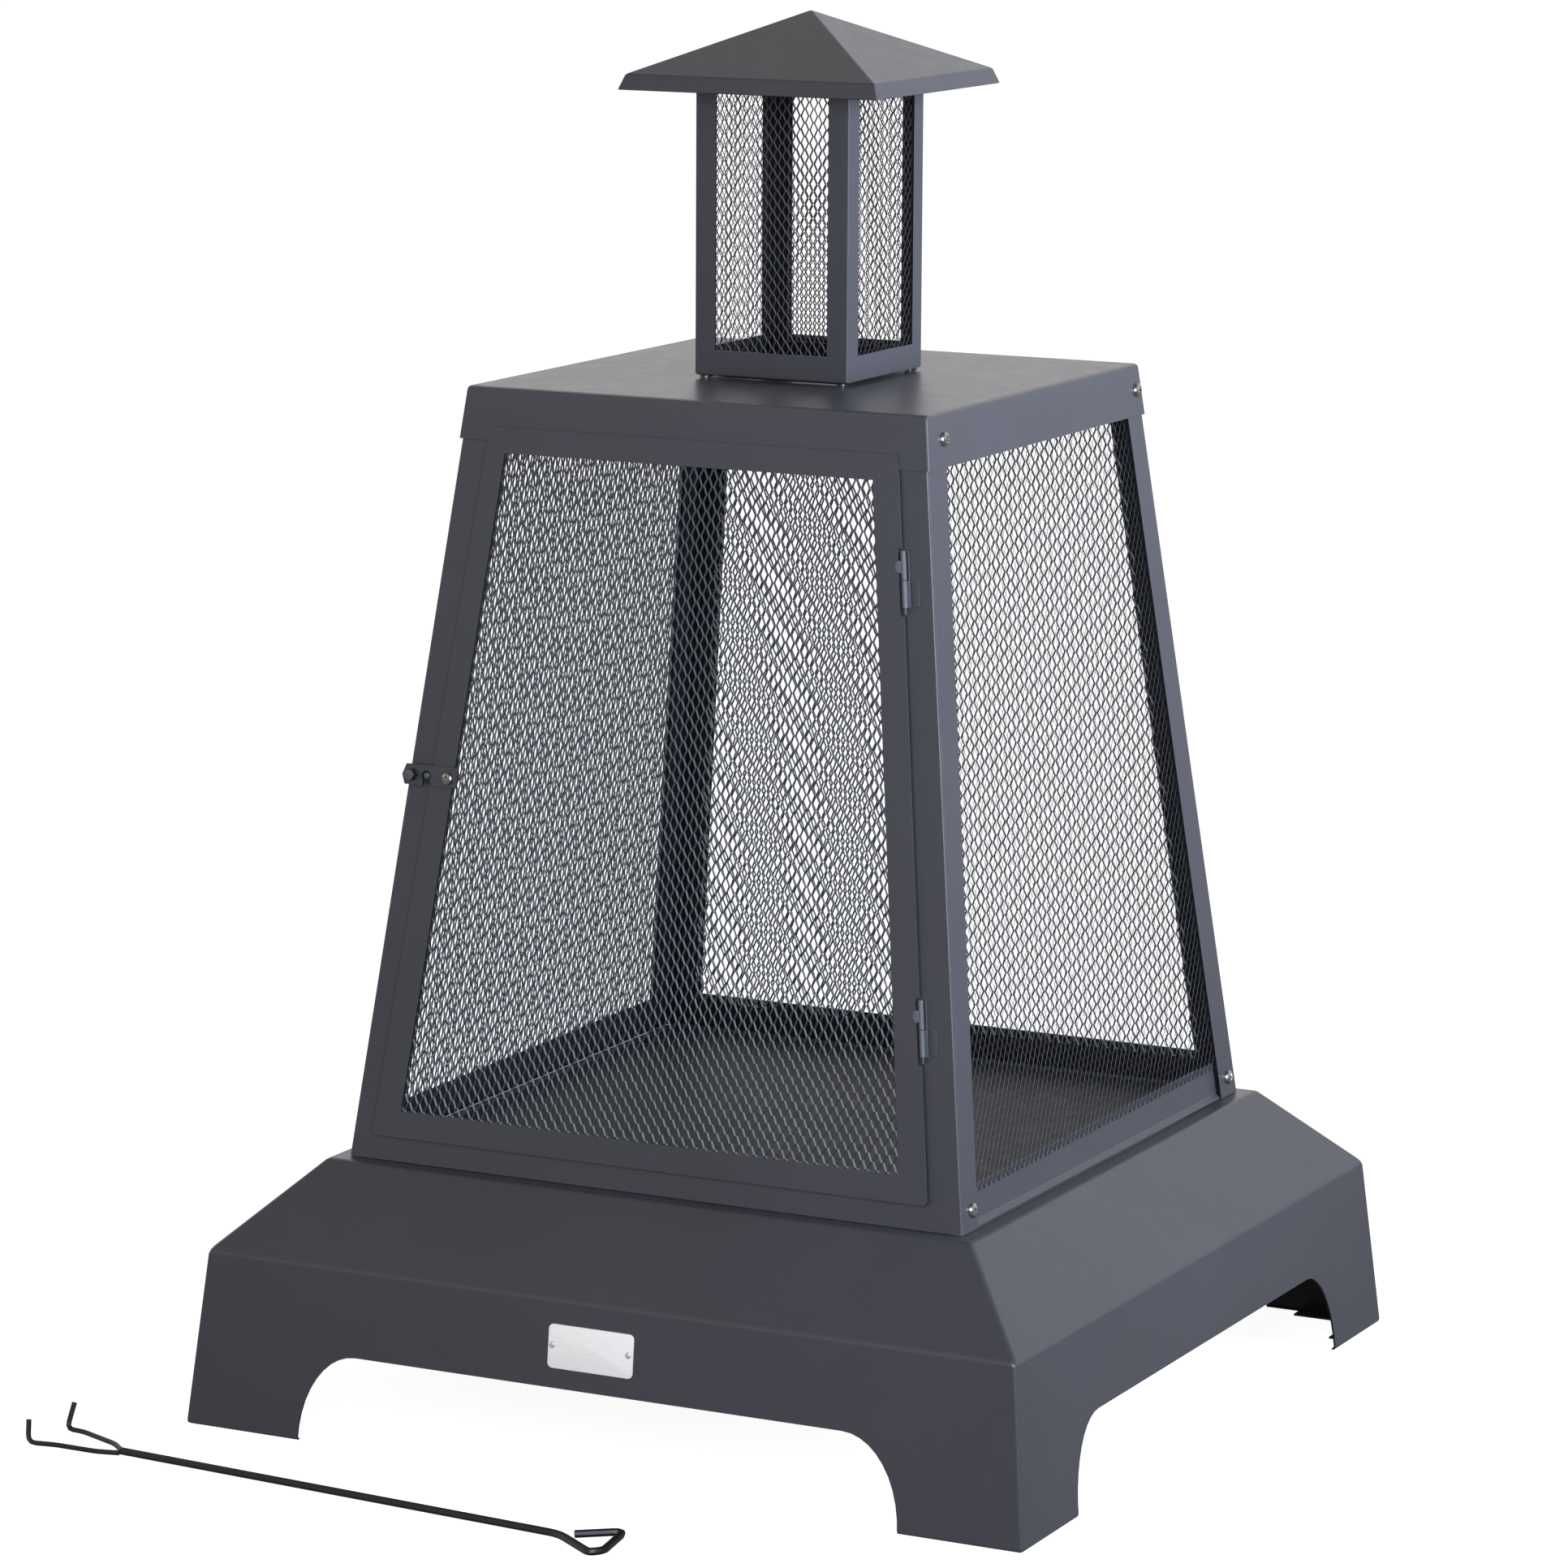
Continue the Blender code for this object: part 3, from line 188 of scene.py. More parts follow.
def painted_inner_shade(tree, shader, share, tone):
    """Painted shade: scale the tone and the gloss of a shader by a share, and return the new tone."""
    darkened = node(tree, "ShaderNodeVectorMath", set_operation="SCALE")
    tree.links.new(tone, darkened.inputs[0])
    tree.links.new(share, darkened.inputs["Scale"])
    for name in ("Specular IOR Level", "Coat Weight"):
        less = node(tree, "ShaderNodeMath", set_operation="MULTIPLY")
        less.inputs[0].default_value = shader.inputs[name].default_value
        tree.links.new(share, less.inputs[1])
        tree.links.new(less.outputs["Value"], shader.inputs[name])
    return darkened.outputs["Vector"]


def powder_coat(name, colour, spread=0.05, rough=(0.33, 0.37), grain=1.0, clear=0.12, inner_shade=False):
    """Satin powder coat: faintly clouded tone, fine orange peel, tiny grains and some clear coat; with painted
    shade on its inner faces if asked.
    """
    made, tree, shader = shader_of(name)
    sources = node(tree, "ShaderNodeTexCoord").outputs
    coords = sources["Object"]
    dark = tuple(c * (1 - spread) for c in colour)
    light = tuple(min(1.0, c * (1 + spread)) for c in colour)
    tone = ramp(tree, noise(tree, coords, *CLOUDS), list(zip(TONE_PLACES, (dark, colour, light))))
    shader.inputs["Coat Weight"].default_value = clear
    shader.inputs["Coat Roughness"].default_value = CLEAR_ROUGHNESS
    # inner faces darker and less glossy: painted shade inside the firebox
    if inner_shade:
        tone = painted_inner_shade(tree, shader, outward_share(tree, coords, sources["Normal"]), tone)
    tree.links.new(tone, shader.inputs["Base Color"])
    gloss = mapped(tree, noise(tree, coords, *GLOSS_CLOUDS), TEXTURE_MIDDLE, rough)
    tree.links.new(gloss, shader.inputs["Roughness"])
    normal = None
    for texture, strength, depth in (PEEL, GRAINS):
        normal = bump(tree, noise(tree, coords, *texture), strength * grain, depth, normal)
    tree.links.new(normal, shader.inputs["Normal"])
    return made


def plated(name, colour, rough, scratch_scale):
    """Bright plating with a slight cloud and fine turning marks."""
    made, tree, shader = shader_of(name)
    coords = node(tree, "ShaderNodeTexCoord").outputs["Object"]
    dull = tuple(c * PLATING_DULL for c in colour)
    tone = ramp(tree, noise(tree, coords, *PLATING_CLOUDS), list(zip(PLATING_PLACES, (dull, colour))))
    tree.links.new(tone, shader.inputs["Base Color"])
    gloss = mapped(tree, noise(tree, coords, *PLATING_GLOSS), TEXTURE_MIDDLE, rough)
    tree.links.new(gloss, shader.inputs["Roughness"])
    marks = bump(tree, noise(tree, coords, scratch_scale, 2.0), *TURNING_MARKS)
    tree.links.new(marks, shader.inputs["Normal"])
    shader.inputs["Metallic"].default_value = 1.0
    return made


def brushed(name, colour, metallic, rough=(0.32, 0.48)):
    """Brushed aluminium, its streaks along X."""
    made, tree, shader = shader_of(name)
    coords = node(tree, "ShaderNodeTexCoord").outputs["Object"]
    stretch = node(tree, "ShaderNodeMapping", Scale=STREAK_SQUEEZE)
    tree.links.new(coords, stretch.inputs["Vector"])
    streaks = noise(tree, stretch.outputs["Vector"], *STREAKS)
    dull = tuple(c * BRUSHED_DULL for c in colour)
    tone = ramp(tree, streaks, list(zip(TEXTURE_MIDDLE, (dull, colour))))
    tree.links.new(tone, shader.inputs["Base Color"])
    tree.links.new(mapped(tree, streaks, TEXTURE_MIDDLE, rough), shader.inputs["Roughness"])
    tree.links.new(bump(tree, streaks, *STREAK_MARKS), shader.inputs["Normal"])
    shader.inputs["Metallic"].default_value = metallic
    return made


# the charcoal coat, with painted shade on its inner faces
COAT = powder_coat("charcoal_powder_coat", (0.0370, 0.0366, 0.0425), inner_shade=True)
# darker copy of the charcoal coat for the hearth plate: painted shade on the firebox's floor
HEARTH_SHADE_COAT = powder_coat("charcoal_hearth_painted_shade", (0.012, 0.0125, 0.015), spread=0.12, rough=(0.52, 0.62),
                         grain=1.2, clear=0.0)
HINGE_PAINT = powder_coat("pale_hinge_paint", (0.082, 0.087, 0.096), spread=0.10, rough=(0.56, 0.64),
                          grain=0.8, clear=0.0)
MESH_PAINT = powder_coat("mesh_paint", (0.034, 0.035, 0.040), spread=0.12, rough=(0.36, 0.44),
                         grain=0.6, clear=0.0)
# darker copy of the mesh paint for the chimney's strands: painted shade under the roof
CHIMNEY_MESH_SHADE_PAINT = powder_coat("chimney_mesh_painted_shade", (0.026, 0.026, 0.029), spread=0.12,
                                 rough=(0.38, 0.46), grain=0.6, clear=0.0)
NICKEL = plated("bright_nickel", (0.64, 0.63, 0.62), rough=(0.12, 0.26), scratch_scale=3000.0)
DARK_NICKEL = plated("aged_nickel", (0.40, 0.38, 0.36), rough=(0.16, 0.30), scratch_scale=2200.0)
# dull zinc, darkened further as painted shade of the gap under the chimney
DULL_ZINC_AND_GAP_SHADE = plated("dull_zinc_and_gap_shade", (0.13, 0.13, 0.14), rough=(0.30, 0.40), scratch_scale=2200.0)
# lighter copy of the charcoal coat on the knob's end and the stud: painted light
KNOB_LIGHT_PAINT = powder_coat("knob_end_painted_light", (0.062, 0.064, 0.070), spread=0.08, rough=(0.34, 0.42), grain=0.8)
# near-black copy on the knob's sides: painted shade
KNOB_SHADE_PAINT = powder_coat("knob_sides_painted_shade", (0.004, 0.004, 0.005), spread=0.10, rough=(0.50, 0.60),
                         grain=0.8, clear=0.0)
PLATE = brushed("brushed_aluminium", (0.92, 0.88, 0.82), metallic=0.25)
RIVET_METAL = brushed("rivet_aluminium", (0.66, 0.66, 0.67), metallic=0.6)
POKER_BLACK = powder_coat("black_poker_paint", (0.002, 0.002, 0.0026), spread=0.2, rough=(0.40, 0.50),
                          grain=0.7, clear=0.0)

SLOT_PAINTS = {"powder_coat": COAT, "mesh_paint": MESH_PAINT, "bright_nickel": NICKEL,
               "plate_metal": PLATE, "poker_black": POKER_BLACK}
SLOT_OF = {part["node"]: part["material_slot"] for part in frame["record"]["subparts"]}


def paint(piece, material):
    """Give a piece one material in every slot it has."""
    if not piece.data.materials:
        piece.data.materials.append(material)
    for slot in piece.material_slots:
        slot.material = material


for name, cad in frame["nodes"].items():
    # the chimney's washers: dull zinc, partly painted shade of the gap they sit in
    if name.startswith("chimney_washer"):
        paint(cad, DULL_ZINC_AND_GAP_SHADE)
    # the hearth plate takes the darker coat: painted shade
    elif name == "hearth_plate":
        paint(cad, HEARTH_SHADE_COAT)
    else:
        paint(cad, SLOT_PAINTS[SLOT_OF[name]])


WELD = 0.000002
SHARP_BEND = 38                               # degrees


def rounding_group():
    """Geometry nodes that weld a mesh and shade it smooth except over edges sharper than SHARP_BEND."""
    group = bpy.data.node_groups.new("rounded_shading", "GeometryNodeTree")
    group.interface.new_socket("Geometry", in_out="INPUT", socket_type="NodeSocketGeometry")
    group.interface.new_socket("Geometry", in_out="OUTPUT", socket_type="NodeSocketGeometry")
    source, result = group.nodes.new("NodeGroupInput"), group.nodes.new("NodeGroupOutput")
    weld = node(group, "GeometryNodeMergeByDistance", Distance=WELD)
    faces = node(group, "GeometryNodeSetShadeSmooth", set_domain="FACE")
    edges = node(group, "GeometryNodeSetShadeSmooth", set_domain="EDGE")
    edges.inputs["Shade Smooth"].default_value = False
    bend = node(group, "GeometryNodeInputMeshEdgeAngle")
    sharp = node(group, "FunctionNodeCompare", set_operation="GREATER_THAN")
    sharp.inputs["B"].default_value = math.radians(SHARP_BEND)
    group.links.new(bend.outputs["Unsigned Angle"], sharp.inputs["A"])
    group.links.new(sharp.outputs["Result"], edges.inputs["Selection"])
    for first, second in ((source, weld), (weld, faces), (faces, edges), (edges, result)):
        group.links.new(first.outputs["Geometry"], second.inputs["Geometry"])
    return group


ROUNDED = rounding_group()
for cad in frame["nodes"].values():
    cad.modifiers.new("rounded_shading", "NODES").node_group = ROUNDED
    flat = cad.modifiers.new("flat_faces", "WEIGHTED_NORMAL")
    flat.keep_sharp = True


# ---------------------------------------------------------------- making pieces
def piece_from(name, data, material, body, replaced=(), place=None):
    """Link a new piece, paint it, and let it ride on its body in place of its CAD nodes."""
    made = bpy.data.objects.new(name, data)
    bpy.context.scene.collection.objects.link(made)
    if place is not None:
        made.matrix_world = place
    paint(made, material)
    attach(made, body)
    if replaced:
        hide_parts(*replaced)
    return made


def mesh_from(bm, name, smooth_angle=None):
    """Store a bmesh; faces flatter to each other than the angle are shaded smooth."""
    bmesh.ops.recalc_face_normals(bm, faces=bm.faces)
    mesh = bpy.data.meshes.new(name)
    bm.to_mesh(mesh)
    bm.free()
    if smooth_angle:
        mesh.shade_smooth()
        mesh.set_sharp_from_angle(angle=math.radians(smooth_angle))
    return mesh


# ---------------------------------------------------------------- expanded metal
# pitch across and up, width and thickness of a strand
FIREBOX_PATTERN = (0.0083, 0.0122, 0.00142, 0.00028)
CHIMNEY_PATTERN = (0.0075, 0.0103, 0.00106, 0.00060)
STRAND_TILT = math.radians(27)
CHIMNEY_SHIFT = 0.0009                        # how far each side's pattern is moved past the one before
SPARE_COLUMNS = 2                             # beyond the sheet's foot on either side
OUTLINE_END = 0.02                            # share of a sheet's height that counts as its foot or its top


def node_outline(name, place):
    """Left and right of a sheet's foot and of its top, its lowest and highest point, and its depth."""
    points = vertices_in(name, place)
    low, high = min(p.y for p in points), max(p.y for p in points)
    reach = (high - low) * OUTLINE_END
    feet = [p.x for p in points if p.y < low + reach]
    tops = [p.x for p in points if p.y > high - reach]
    depth = (min(p.z for p in points) + max(p.z for p in points)) / 2
    return (min(feet), max(feet), min(tops), max(tops), low, high), depth


def expanded_metal(name, cad_node, body, place, pattern, facing, shift, material=MESH_PAINT):
    """Sheet of zigzag strands joined side by side at their bonds, in place of a CAD lattice.

    Facing, 1 or -1, says which way the strands are tilted; shift moves the pattern across.
    """
    (low_left, low_right, top_left, top_right, low, high), depth = node_outline(cad_node, place)
    pitch_x, pitch_y, width, thick = pattern
    half_x, half_y = pitch_x / 2, pitch_y / 2
    along = Vector((math.cos(STRAND_TILT), 0, -facing * math.sin(STRAND_TILT))) * width / 2
    out = Vector((facing * math.sin(STRAND_TILT), 0, math.cos(STRAND_TILT))) * thick / 2
    section = (-along - out, along - out, along + out, -along + out)
    bm = bmesh.new()
    rows = int((high - low) / half_y)

    def centre(column, row):
        """Middle of a strand's column where it crosses a row; neighbours meet at every second row."""
        at_left = (column + row) % 2 == 0
        x = (column if at_left else column + 1) * half_x + (along.x if at_left else -along.x)
        z = depth + (along.z if at_left else -along.z)
        return Vector((x + shift, low + row * half_y, z))

    def inside(point):
        """Whether a point is on the sheet."""
        share = (point.y - low) / (high - low)
        return (low_left + (top_left - low_left) * share <= point.x
                <= low_right + (top_right - low_right) * share)

    def strand(points):
        """One zigzag bar through points, closed at both ends."""
        rings = [[bm.verts.new(point + corner) for corner in section] for point in points]
        bm.faces.new(rings[0][::-1])
        bm.faces.new(rings[-1])
        for ring, new_ring in zip(rings, rings[1:]):
            for i in range(4):
                j = (i + 1) % 4
                bm.faces.new((ring[i], ring[j], new_ring[j], new_ring[i]))

    for column in range(int(low_left / half_x) - SPARE_COLUMNS, int(low_right / half_x) + SPARE_COLUMNS):
        run = []
        for row in range(rows + 2):
            point = centre(column, row)
            if row <= rows and inside(point):
                run.append(point)
                continue
            if len(run) > 1:
                strand(run)
            run = []
    mesh = bpy.data.meshes.new(name)
    bm.to_mesh(mesh)
    bm.free()
    piece_from(name, mesh, material, body, (cad_node,), place)


# name, side, facing and shift
WALL_MESHES = (("door", FRONT, 1, 0.0), ("right", RIGHT, 1, 0.0012), ("back", BACK, 1, 0.0021),
               ("left", LEFT, -1, 0.0007))
for side, turns, facing, shift in WALL_MESHES:
    expanded_metal(f"{side}_expanded_metal", f"{side}_mesh", "door" if side == "door" else "body",
                   WALL_FACES[turns], FIREBOX_PATTERN, facing, shift)
# the chimney's strands take the darker mesh paint: painted shade
for turns, side in enumerate(SIDES):
    expanded_metal(f"chimney_{side}_expanded_metal", f"chimney_mesh_{side}", "body", chimney_face(turns),
                   CHIMNEY_PATTERN, 1, CHIMNEY_SHIFT * turns, CHIMNEY_MESH_SHADE_PAINT)


# ---------------------------------------------------------------- screws, rivets, knob and stud
TURN_STEPS = 48
SHANK_SHARE, RIM_SHARE = 0.40, 0.22           # shank over head radius, and upright rim over head height
DOME_STEPS = 18
HEAD_SMOOTH, KNOB_SMOOTH, PLATE_SMOOTH, HINGE_SMOOTH = 35, 20, 50, 40       # degrees

# height and roundness of each head
PAN_HEAD, LOW_PAN_HEAD, PIVOT_HEAD, RIVET_HEAD = (0.0032, 2.4), (0.0026, 2.4), (0.0028, 2.2), (0.0012, 2.0)
FIRST_ROLL, ROLL_STEP, CHIMNEY_ROLL_STEP, PIVOT_ROLL = 17, 31, 40, 8        # degrees a cross is turned by

# a cross recess in shares of the head's radius: its reach, half width, wall and the half width of its heart
CROSS_REACH, CROSS_HALF, CROSS_WALL, CROSS_HEART = 0.56, 0.105, 0.05, 0.2415
CROSS_DEPTH, CROSS_RISE = 0.62, 0.45          # share of the head's height, and how much of it the ends lose

# a rivet's hole: its depth in the head's height, and its radius and wall in the head's radius
DIMPLE_DEPTH, DIMPLE_REACH, DIMPLE_WALL = 0.7, 0.36, 0.1

# radius and height of the stud's crown and shank, from its tip down
STUD_PROFILE = ((0, 0), (0.0014, -0.0001), (0.0021, -0.0004), (0.0025, -0.0009), (0.0026, -0.0015),
                (0.0026, -0.0075), (0, -0.0075))
KNOB_END, KNOB_EDGE, KNOB_CHAMFER = 0.0003, 0.0001, 0.6     # end's thickness, its edge, chamfer's slope
KNOB_INSET, KNOB_EASE = 0.0002, 0.0002        # how far the round face stays inside the flats, and its edge


def seat_of(name, place, height):
    """Frame on the seat of a CAD node whose head rises by a height, Z out of it, and its shank's length."""
    points = vertices_in(name, place)
    x, y = ((min(p[i] for p in points) + max(p[i] for p in points)) / 2 for i in (0, 1))
    low, high = min(p.z for p in points), max(p.z for p in points)
    return place @ Matrix.Translation((x, y, high - height)), high - low - height


def lathe(bm, profile, dent=None):
    """Solid turned about Z through (radius, height) points, from the top down; dent lowers its head."""
    rings = []
    for radius, height in profile:
        ring = []
        for i in range(TURN_STEPS if radius else 1):
            angle = 2 * math.pi * i / TURN_STEPS
            x, y = radius * math.cos(angle), radius * math.sin(angle)
            ring.append(bm.verts.new((x, y, height - (dent(x, y) if dent and height > 0 else 0))))
        rings.append(ring)
    for ring, below in zip(rings, rings[1:]):
        for i in range(TURN_STEPS):
            j = (i + 1) % TURN_STEPS
            if len(ring) == 1:
                bm.faces.new((ring[0], below[i], below[j]))
            elif len(below) == 1:
                bm.faces.new((ring[i], below[0], ring[j]))
            else:
                bm.faces.new((ring[i], below[i], below[j], ring[j]))


def domed_profile(radius, height, shank_length, roundness):
    """Head with a short upright rim under a dome, and its shank."""
    rim = height * RIM_SHARE
    dome = []
    for i in range(DOME_STEPS + 1):
        share = i / DOME_STEPS
        dome.append((radius * share, rim + (height - rim) * (1 - share ** roundness) ** (1 / roundness)))
    shank = radius * SHANK_SHARE
    return dome + [(radius, 0.0), (shank, 0.0), (shank, -shank_length), (0, -shank_length)]


def cross_recess(radius, height):
    """Depth of a cross recess at a point of the head."""
    reach, half_width, wall = radius * CROSS_REACH, radius * CROSS_HALF, radius * CROSS_WALL

    def bar(along, across):
        """Share of the depth in one bar of the cross."""
        sides = (half_width + wall - abs(across)) / wall
        end = (reach - abs(along)) / (wall * 2)
        return max(0.0, min(1.0, sides, end)) * (1 - CROSS_RISE * abs(along) / reach)

    def depth(x, y):
        """Depth at a point."""
        heart = max(0.0, min(1.0, (radius * CROSS_HEART - abs(x) - abs(y)) / wall))
        return height * CROSS_DEPTH * max(bar(x, y), bar(y, x), heart)

    return depth


def dimple(radius, height):
    """Depth of the punched hole at a point of a blind rivet's head."""
    def depth(x, y):
        """Depth at a point."""
        inwards = (radius * DIMPLE_REACH - math.hypot(x, y)) / (radius * DIMPLE_WALL)
        return height * DIMPLE_DEPTH * max(0.0, min(1.0, inwards))

    return depth


def headed(node_name, material, body, place, head, hollow, roll=0.0):
    """Screw or rivet with a shaped head, in place of its CAD node."""
    height, roundness = head
    across = [p.x for p in vertices_in(node_name, place)]
    radius = (max(across) - min(across)) / 2
    seat, shank = seat_of(node_name, place, height)
    bm = bmesh.new()
    lathe(bm, domed_profile(radius, height, shank, roundness), hollow(radius, height))
    mesh = mesh_from(bm, node_name, HEAD_SMOOTH)
    turned_seat = seat @ Matrix.Rotation(math.radians(roll), 4, "Z")
    piece_from(f"{node_name}_headed", mesh, material, body, (node_name,), turned_seat)


def turned_piece(node_name, material, body, place, profile, name=None):
    """Plain round piece on the seat of its CAD node, which it replaces unless it has its own name."""
    seat, _ = seat_of(node_name, place, 0)
    bm = bmesh.new()
    lathe(bm, profile)
    mesh = mesh_from(bm, node_name, HEAD_SMOOTH)
    if name:
        made = piece_from(name, mesh, material, body, (), seat)
    else:
        piece_from(f"{node_name}_turned", mesh, material, body, (node_name,), seat)


CORNER_SCREWS = [f"{kind}_screw_{side}_{end}" for kind in ("lid", "wall") for side in ("right", "left")
                 for end in ("front", "back")]
CHIMNEY_SCREWS = [f"chimney_screw_{side}_{end}" for side in ("left", "right") for end in ("front", "back")]
for index, name in enumerate(CORNER_SCREWS):
    side_face = WALL_FACES[RIGHT if "_right_" in name else LEFT]
    headed(name, NICKEL, "body", side_face, PAN_HEAD, cross_recess, FIRST_ROLL + ROLL_STEP * index)
for index, name in enumerate(CHIMNEY_SCREWS):
    headed(name, NICKEL, "body", quarter(FRONT), LOW_PAN_HEAD, cross_recess, CHIMNEY_ROLL_STEP * index)
headed("latch_pivot_screw", DARK_NICKEL, "door", WALL_FACES[FRONT], PIVOT_HEAD, cross_recess, PIVOT_ROLL)
for side in ("left", "right"):
    headed(f"plate_rivet_{side}", RIVET_METAL, "body", SKIRT_FACE, RIVET_HEAD, dimple)
# the stud takes the knob's lighter paint: painted light
turned_piece("latch_stud", KNOB_LIGHT_PAINT, "body", WALL_FACES[FRONT], STUD_PROFILE)


def make_knob():
    """Hexagonal knob: sides in painted shade, a chamfer round the end, and a round face on it in painted light."""
    seat, length = seat_of("latch_knob", WALL_FACES[FRONT], 0)
    across = [p.x for p in vertices_in("latch_knob", WALL_FACES[FRONT])]
    flat = (max(across) - min(across)) / 2 * math.cos(math.pi / 6)
    bm = bmesh.new()
    end, rim, base = [], [], []
    for i in range(TURN_STEPS):
        angle = 2 * math.pi * i / TURN_STEPS
        out = Vector((math.cos(angle), math.sin(angle), 0))
        reach = flat / math.cos(angle % (math.pi / 3) - math.pi / 6)
        rim_depth = KNOB_END + KNOB_EDGE + (reach - flat) * KNOB_CHAMFER
        end.append(bm.verts.new(out * flat - Vector((0, 0, KNOB_END))))
        rim.append(bm.verts.new(out * reach - Vector((0, 0, rim_depth))))
        base.append(bm.verts.new(out * reach - Vector((0, 0, length))))
    bm.faces.new(end)
    bm.faces.new(base[::-1])
    for ring, below in ((end, rim), (rim, base)):
        for i in range(TURN_STEPS):
            j = (i + 1) % TURN_STEPS
            bm.faces.new((ring[i], below[i], below[j], ring[j]))
    mesh = mesh_from(bm, "latch_knob", KNOB_SMOOTH)
    piece_from("latch_knob_sides", mesh, KNOB_SHADE_PAINT, "latch", ("latch_knob",), seat)
    face = flat - KNOB_INSET
    face_profile = ((0, 0), (face - KNOB_EASE, 0), (face, -KNOB_EDGE), (face, -KNOB_END), (0, -KNOB_END))
    turned_piece("latch_knob", KNOB_LIGHT_PAINT, "latch", WALL_FACES[FRONT], face_profile, "latch_knob_end")


make_knob()


# ---------------------------------------------------------------- plates with eased edges
PLATE_CORNER, PLATE_EDGE = 0.0040, 0.0004
EDGE_STEPS = 3


def rounded_corners(low, high, radius, steps=6):
    """Outline of a rectangle with rounded corners, anticlockwise."""
    left, right = low[0] + radius, high[0] - radius
    bottom, top = low[1] + radius, high[1] - radius
    points = []
    for quarter_turn, (x, y) in enumerate(((right, top), (left, top), (left, bottom), (right, bottom))):
        for i in range(steps + 1):
            angle = math.pi / 2 * (quarter_turn + i / steps)
            points.append((x + radius * math.cos(angle), y + radius * math.sin(angle)))
    return points


def slab(bm, outline, low, high, edge):
    """Plate from an outline between two heights along Z, its top edge eased."""
    bottom = bm.faces.new([bm.verts.new((x, y, low)) for x, y in outline])
    raised = bmesh.ops.extrude_face_region(bm, geom=[bottom])["geom"]
    tops = [item for item in raised if isinstance(item, bmesh.types.BMVert)]
    bmesh.ops.translate(bm, vec=(0, 0, high - low), verts=tops)
    kept = set(tops)
    rim = [e for e in bm.edges if kept.issuperset(e.verts) and len(e.link_faces) == 2]
    bmesh.ops.bevel(bm, geom=rim, offset=edge, segments=EDGE_STEPS, profile=0.5, affect="EDGES")


def make_name_plate():
    """Blank aluminium plate with rounded corners."""
    points = vertices_in("name_plate", SKIRT_FACE)
    low, high = ([pick(p[i] for p in points) for i in range(3)] for pick in (min, max))
    bm = bmesh.new()
    slab(bm, rounded_corners(low, high, PLATE_CORNER), low[2], high[2], PLATE_EDGE)
    mesh = mesh_from(bm, "name_plate", PLATE_SMOOTH)
    piece_from("blank_name_plate", mesh, PLATE, "body", ("name_plate",), SKIRT_FACE)


make_name_plate()


# ---------------------------------------------------------------- hinges
BARREL_RADIUS, BARREL_BORE, BARREL_EASE, KNUCKLE_GAP = 0.0019, 0.0014, 0.0003, 0.0006
TAB_ROUND, TAB_START, TAB_EDGE, TAB_STEPS = 0.0030, -0.0012, 0.0005, 14
TAB_CLEAR = 0.0002                            # the tab is what lies this far outside the barrel
LEAF_EDGE, PAD_CORNER = 0.0002, 0.0008

# left, right and how far it stands up off the wall
LEAF_RIB = (0.0026, 0.0032, 0.0014)           # the leaf's raised edge
LEAF_WEB = (0.0004, 0.0032, 0.0010)           # the leaf from its barrel to that edge
LEAF_PAD = (0.0042, 0.0105, 0.0004)           # the pad pressed into the wall beside it


def hinge_frame(which):
    """Frame on a hinge's axis: Z up along the pin, Y into the wall, the origin at the door knuckle's foot."""
    hinge = next(joint for joint in frame["joints"] if joint["name"] == "door_swing")
    up = Vector(hinge["axis"]).normalized()
    up = up if up.z > 0 else -up
    across = up.cross(WALL_FACES[FRONT].col[2].to_3d()).normalized()
    inwards = up.cross(across)
    middle = middle_of(f"{which}_hinge_pin")
    knuckle = frame["nodes"][f"{which}_hinge_door_knuckle"].data.vertices
    split = min((v.co - middle).dot(up) for v in knuckle)
    return Matrix.Translation(middle + up * split) @ Matrix((across, inwards, up)).transposed().to_4x4()


def rolled_barrel(bm, low, high):
    """Open knuckle along Z with eased ends."""
    shoulder = BARREL_RADIUS - BARREL_EASE
    profile = [(BARREL_BORE, low), (shoulder, low), (BARREL_RADIUS, low + BARREL_EASE),
               (BARREL_RADIUS, high - BARREL_EASE), (shoulder, high), (BARREL_BORE, high)]
    angles = [2 * math.pi * i / TURN_STEPS for i in range(TURN_STEPS)]
    rings = []
    for radius, height in profile:
        rings.append([bm.verts.new((radius * math.cos(a), radius * math.sin(a), height)) for a in angles])
    for ring, following in zip(rings, rings[1:] + rings[:1]):
        for i in range(TURN_STEPS):
            j = (i + 1) % TURN_STEPS
            bm.faces.new((ring[i], ring[j], following[j], following[i]))


def upright_slab(bm, outline, back, face, edge):
    """Plate in the hinge's XZ plane between two depths, its outer edge eased."""
    before = set(bm.verts)
    slab(bm, outline, -back, -face, edge)
    lying = [v for v in bm.verts if v not in before]
    bmesh.ops.transform(bm, matrix=UPRIGHT, verts=lying)


def upright_box(bm, spans, low, high, back, corner=None):
    """Upright plate on the wall: spans are its left, its right and how far it stands up off the wall."""
    left, right, proud = spans
    if corner:
        outline = rounded_corners((left, low), (right, high), corner, EDGE_STEPS)
    else:
        outline = [(left, low), (right, low), (right, high), (left, high)]
    upright_slab(bm, outline, back, back - proud, LEAF_EDGE)


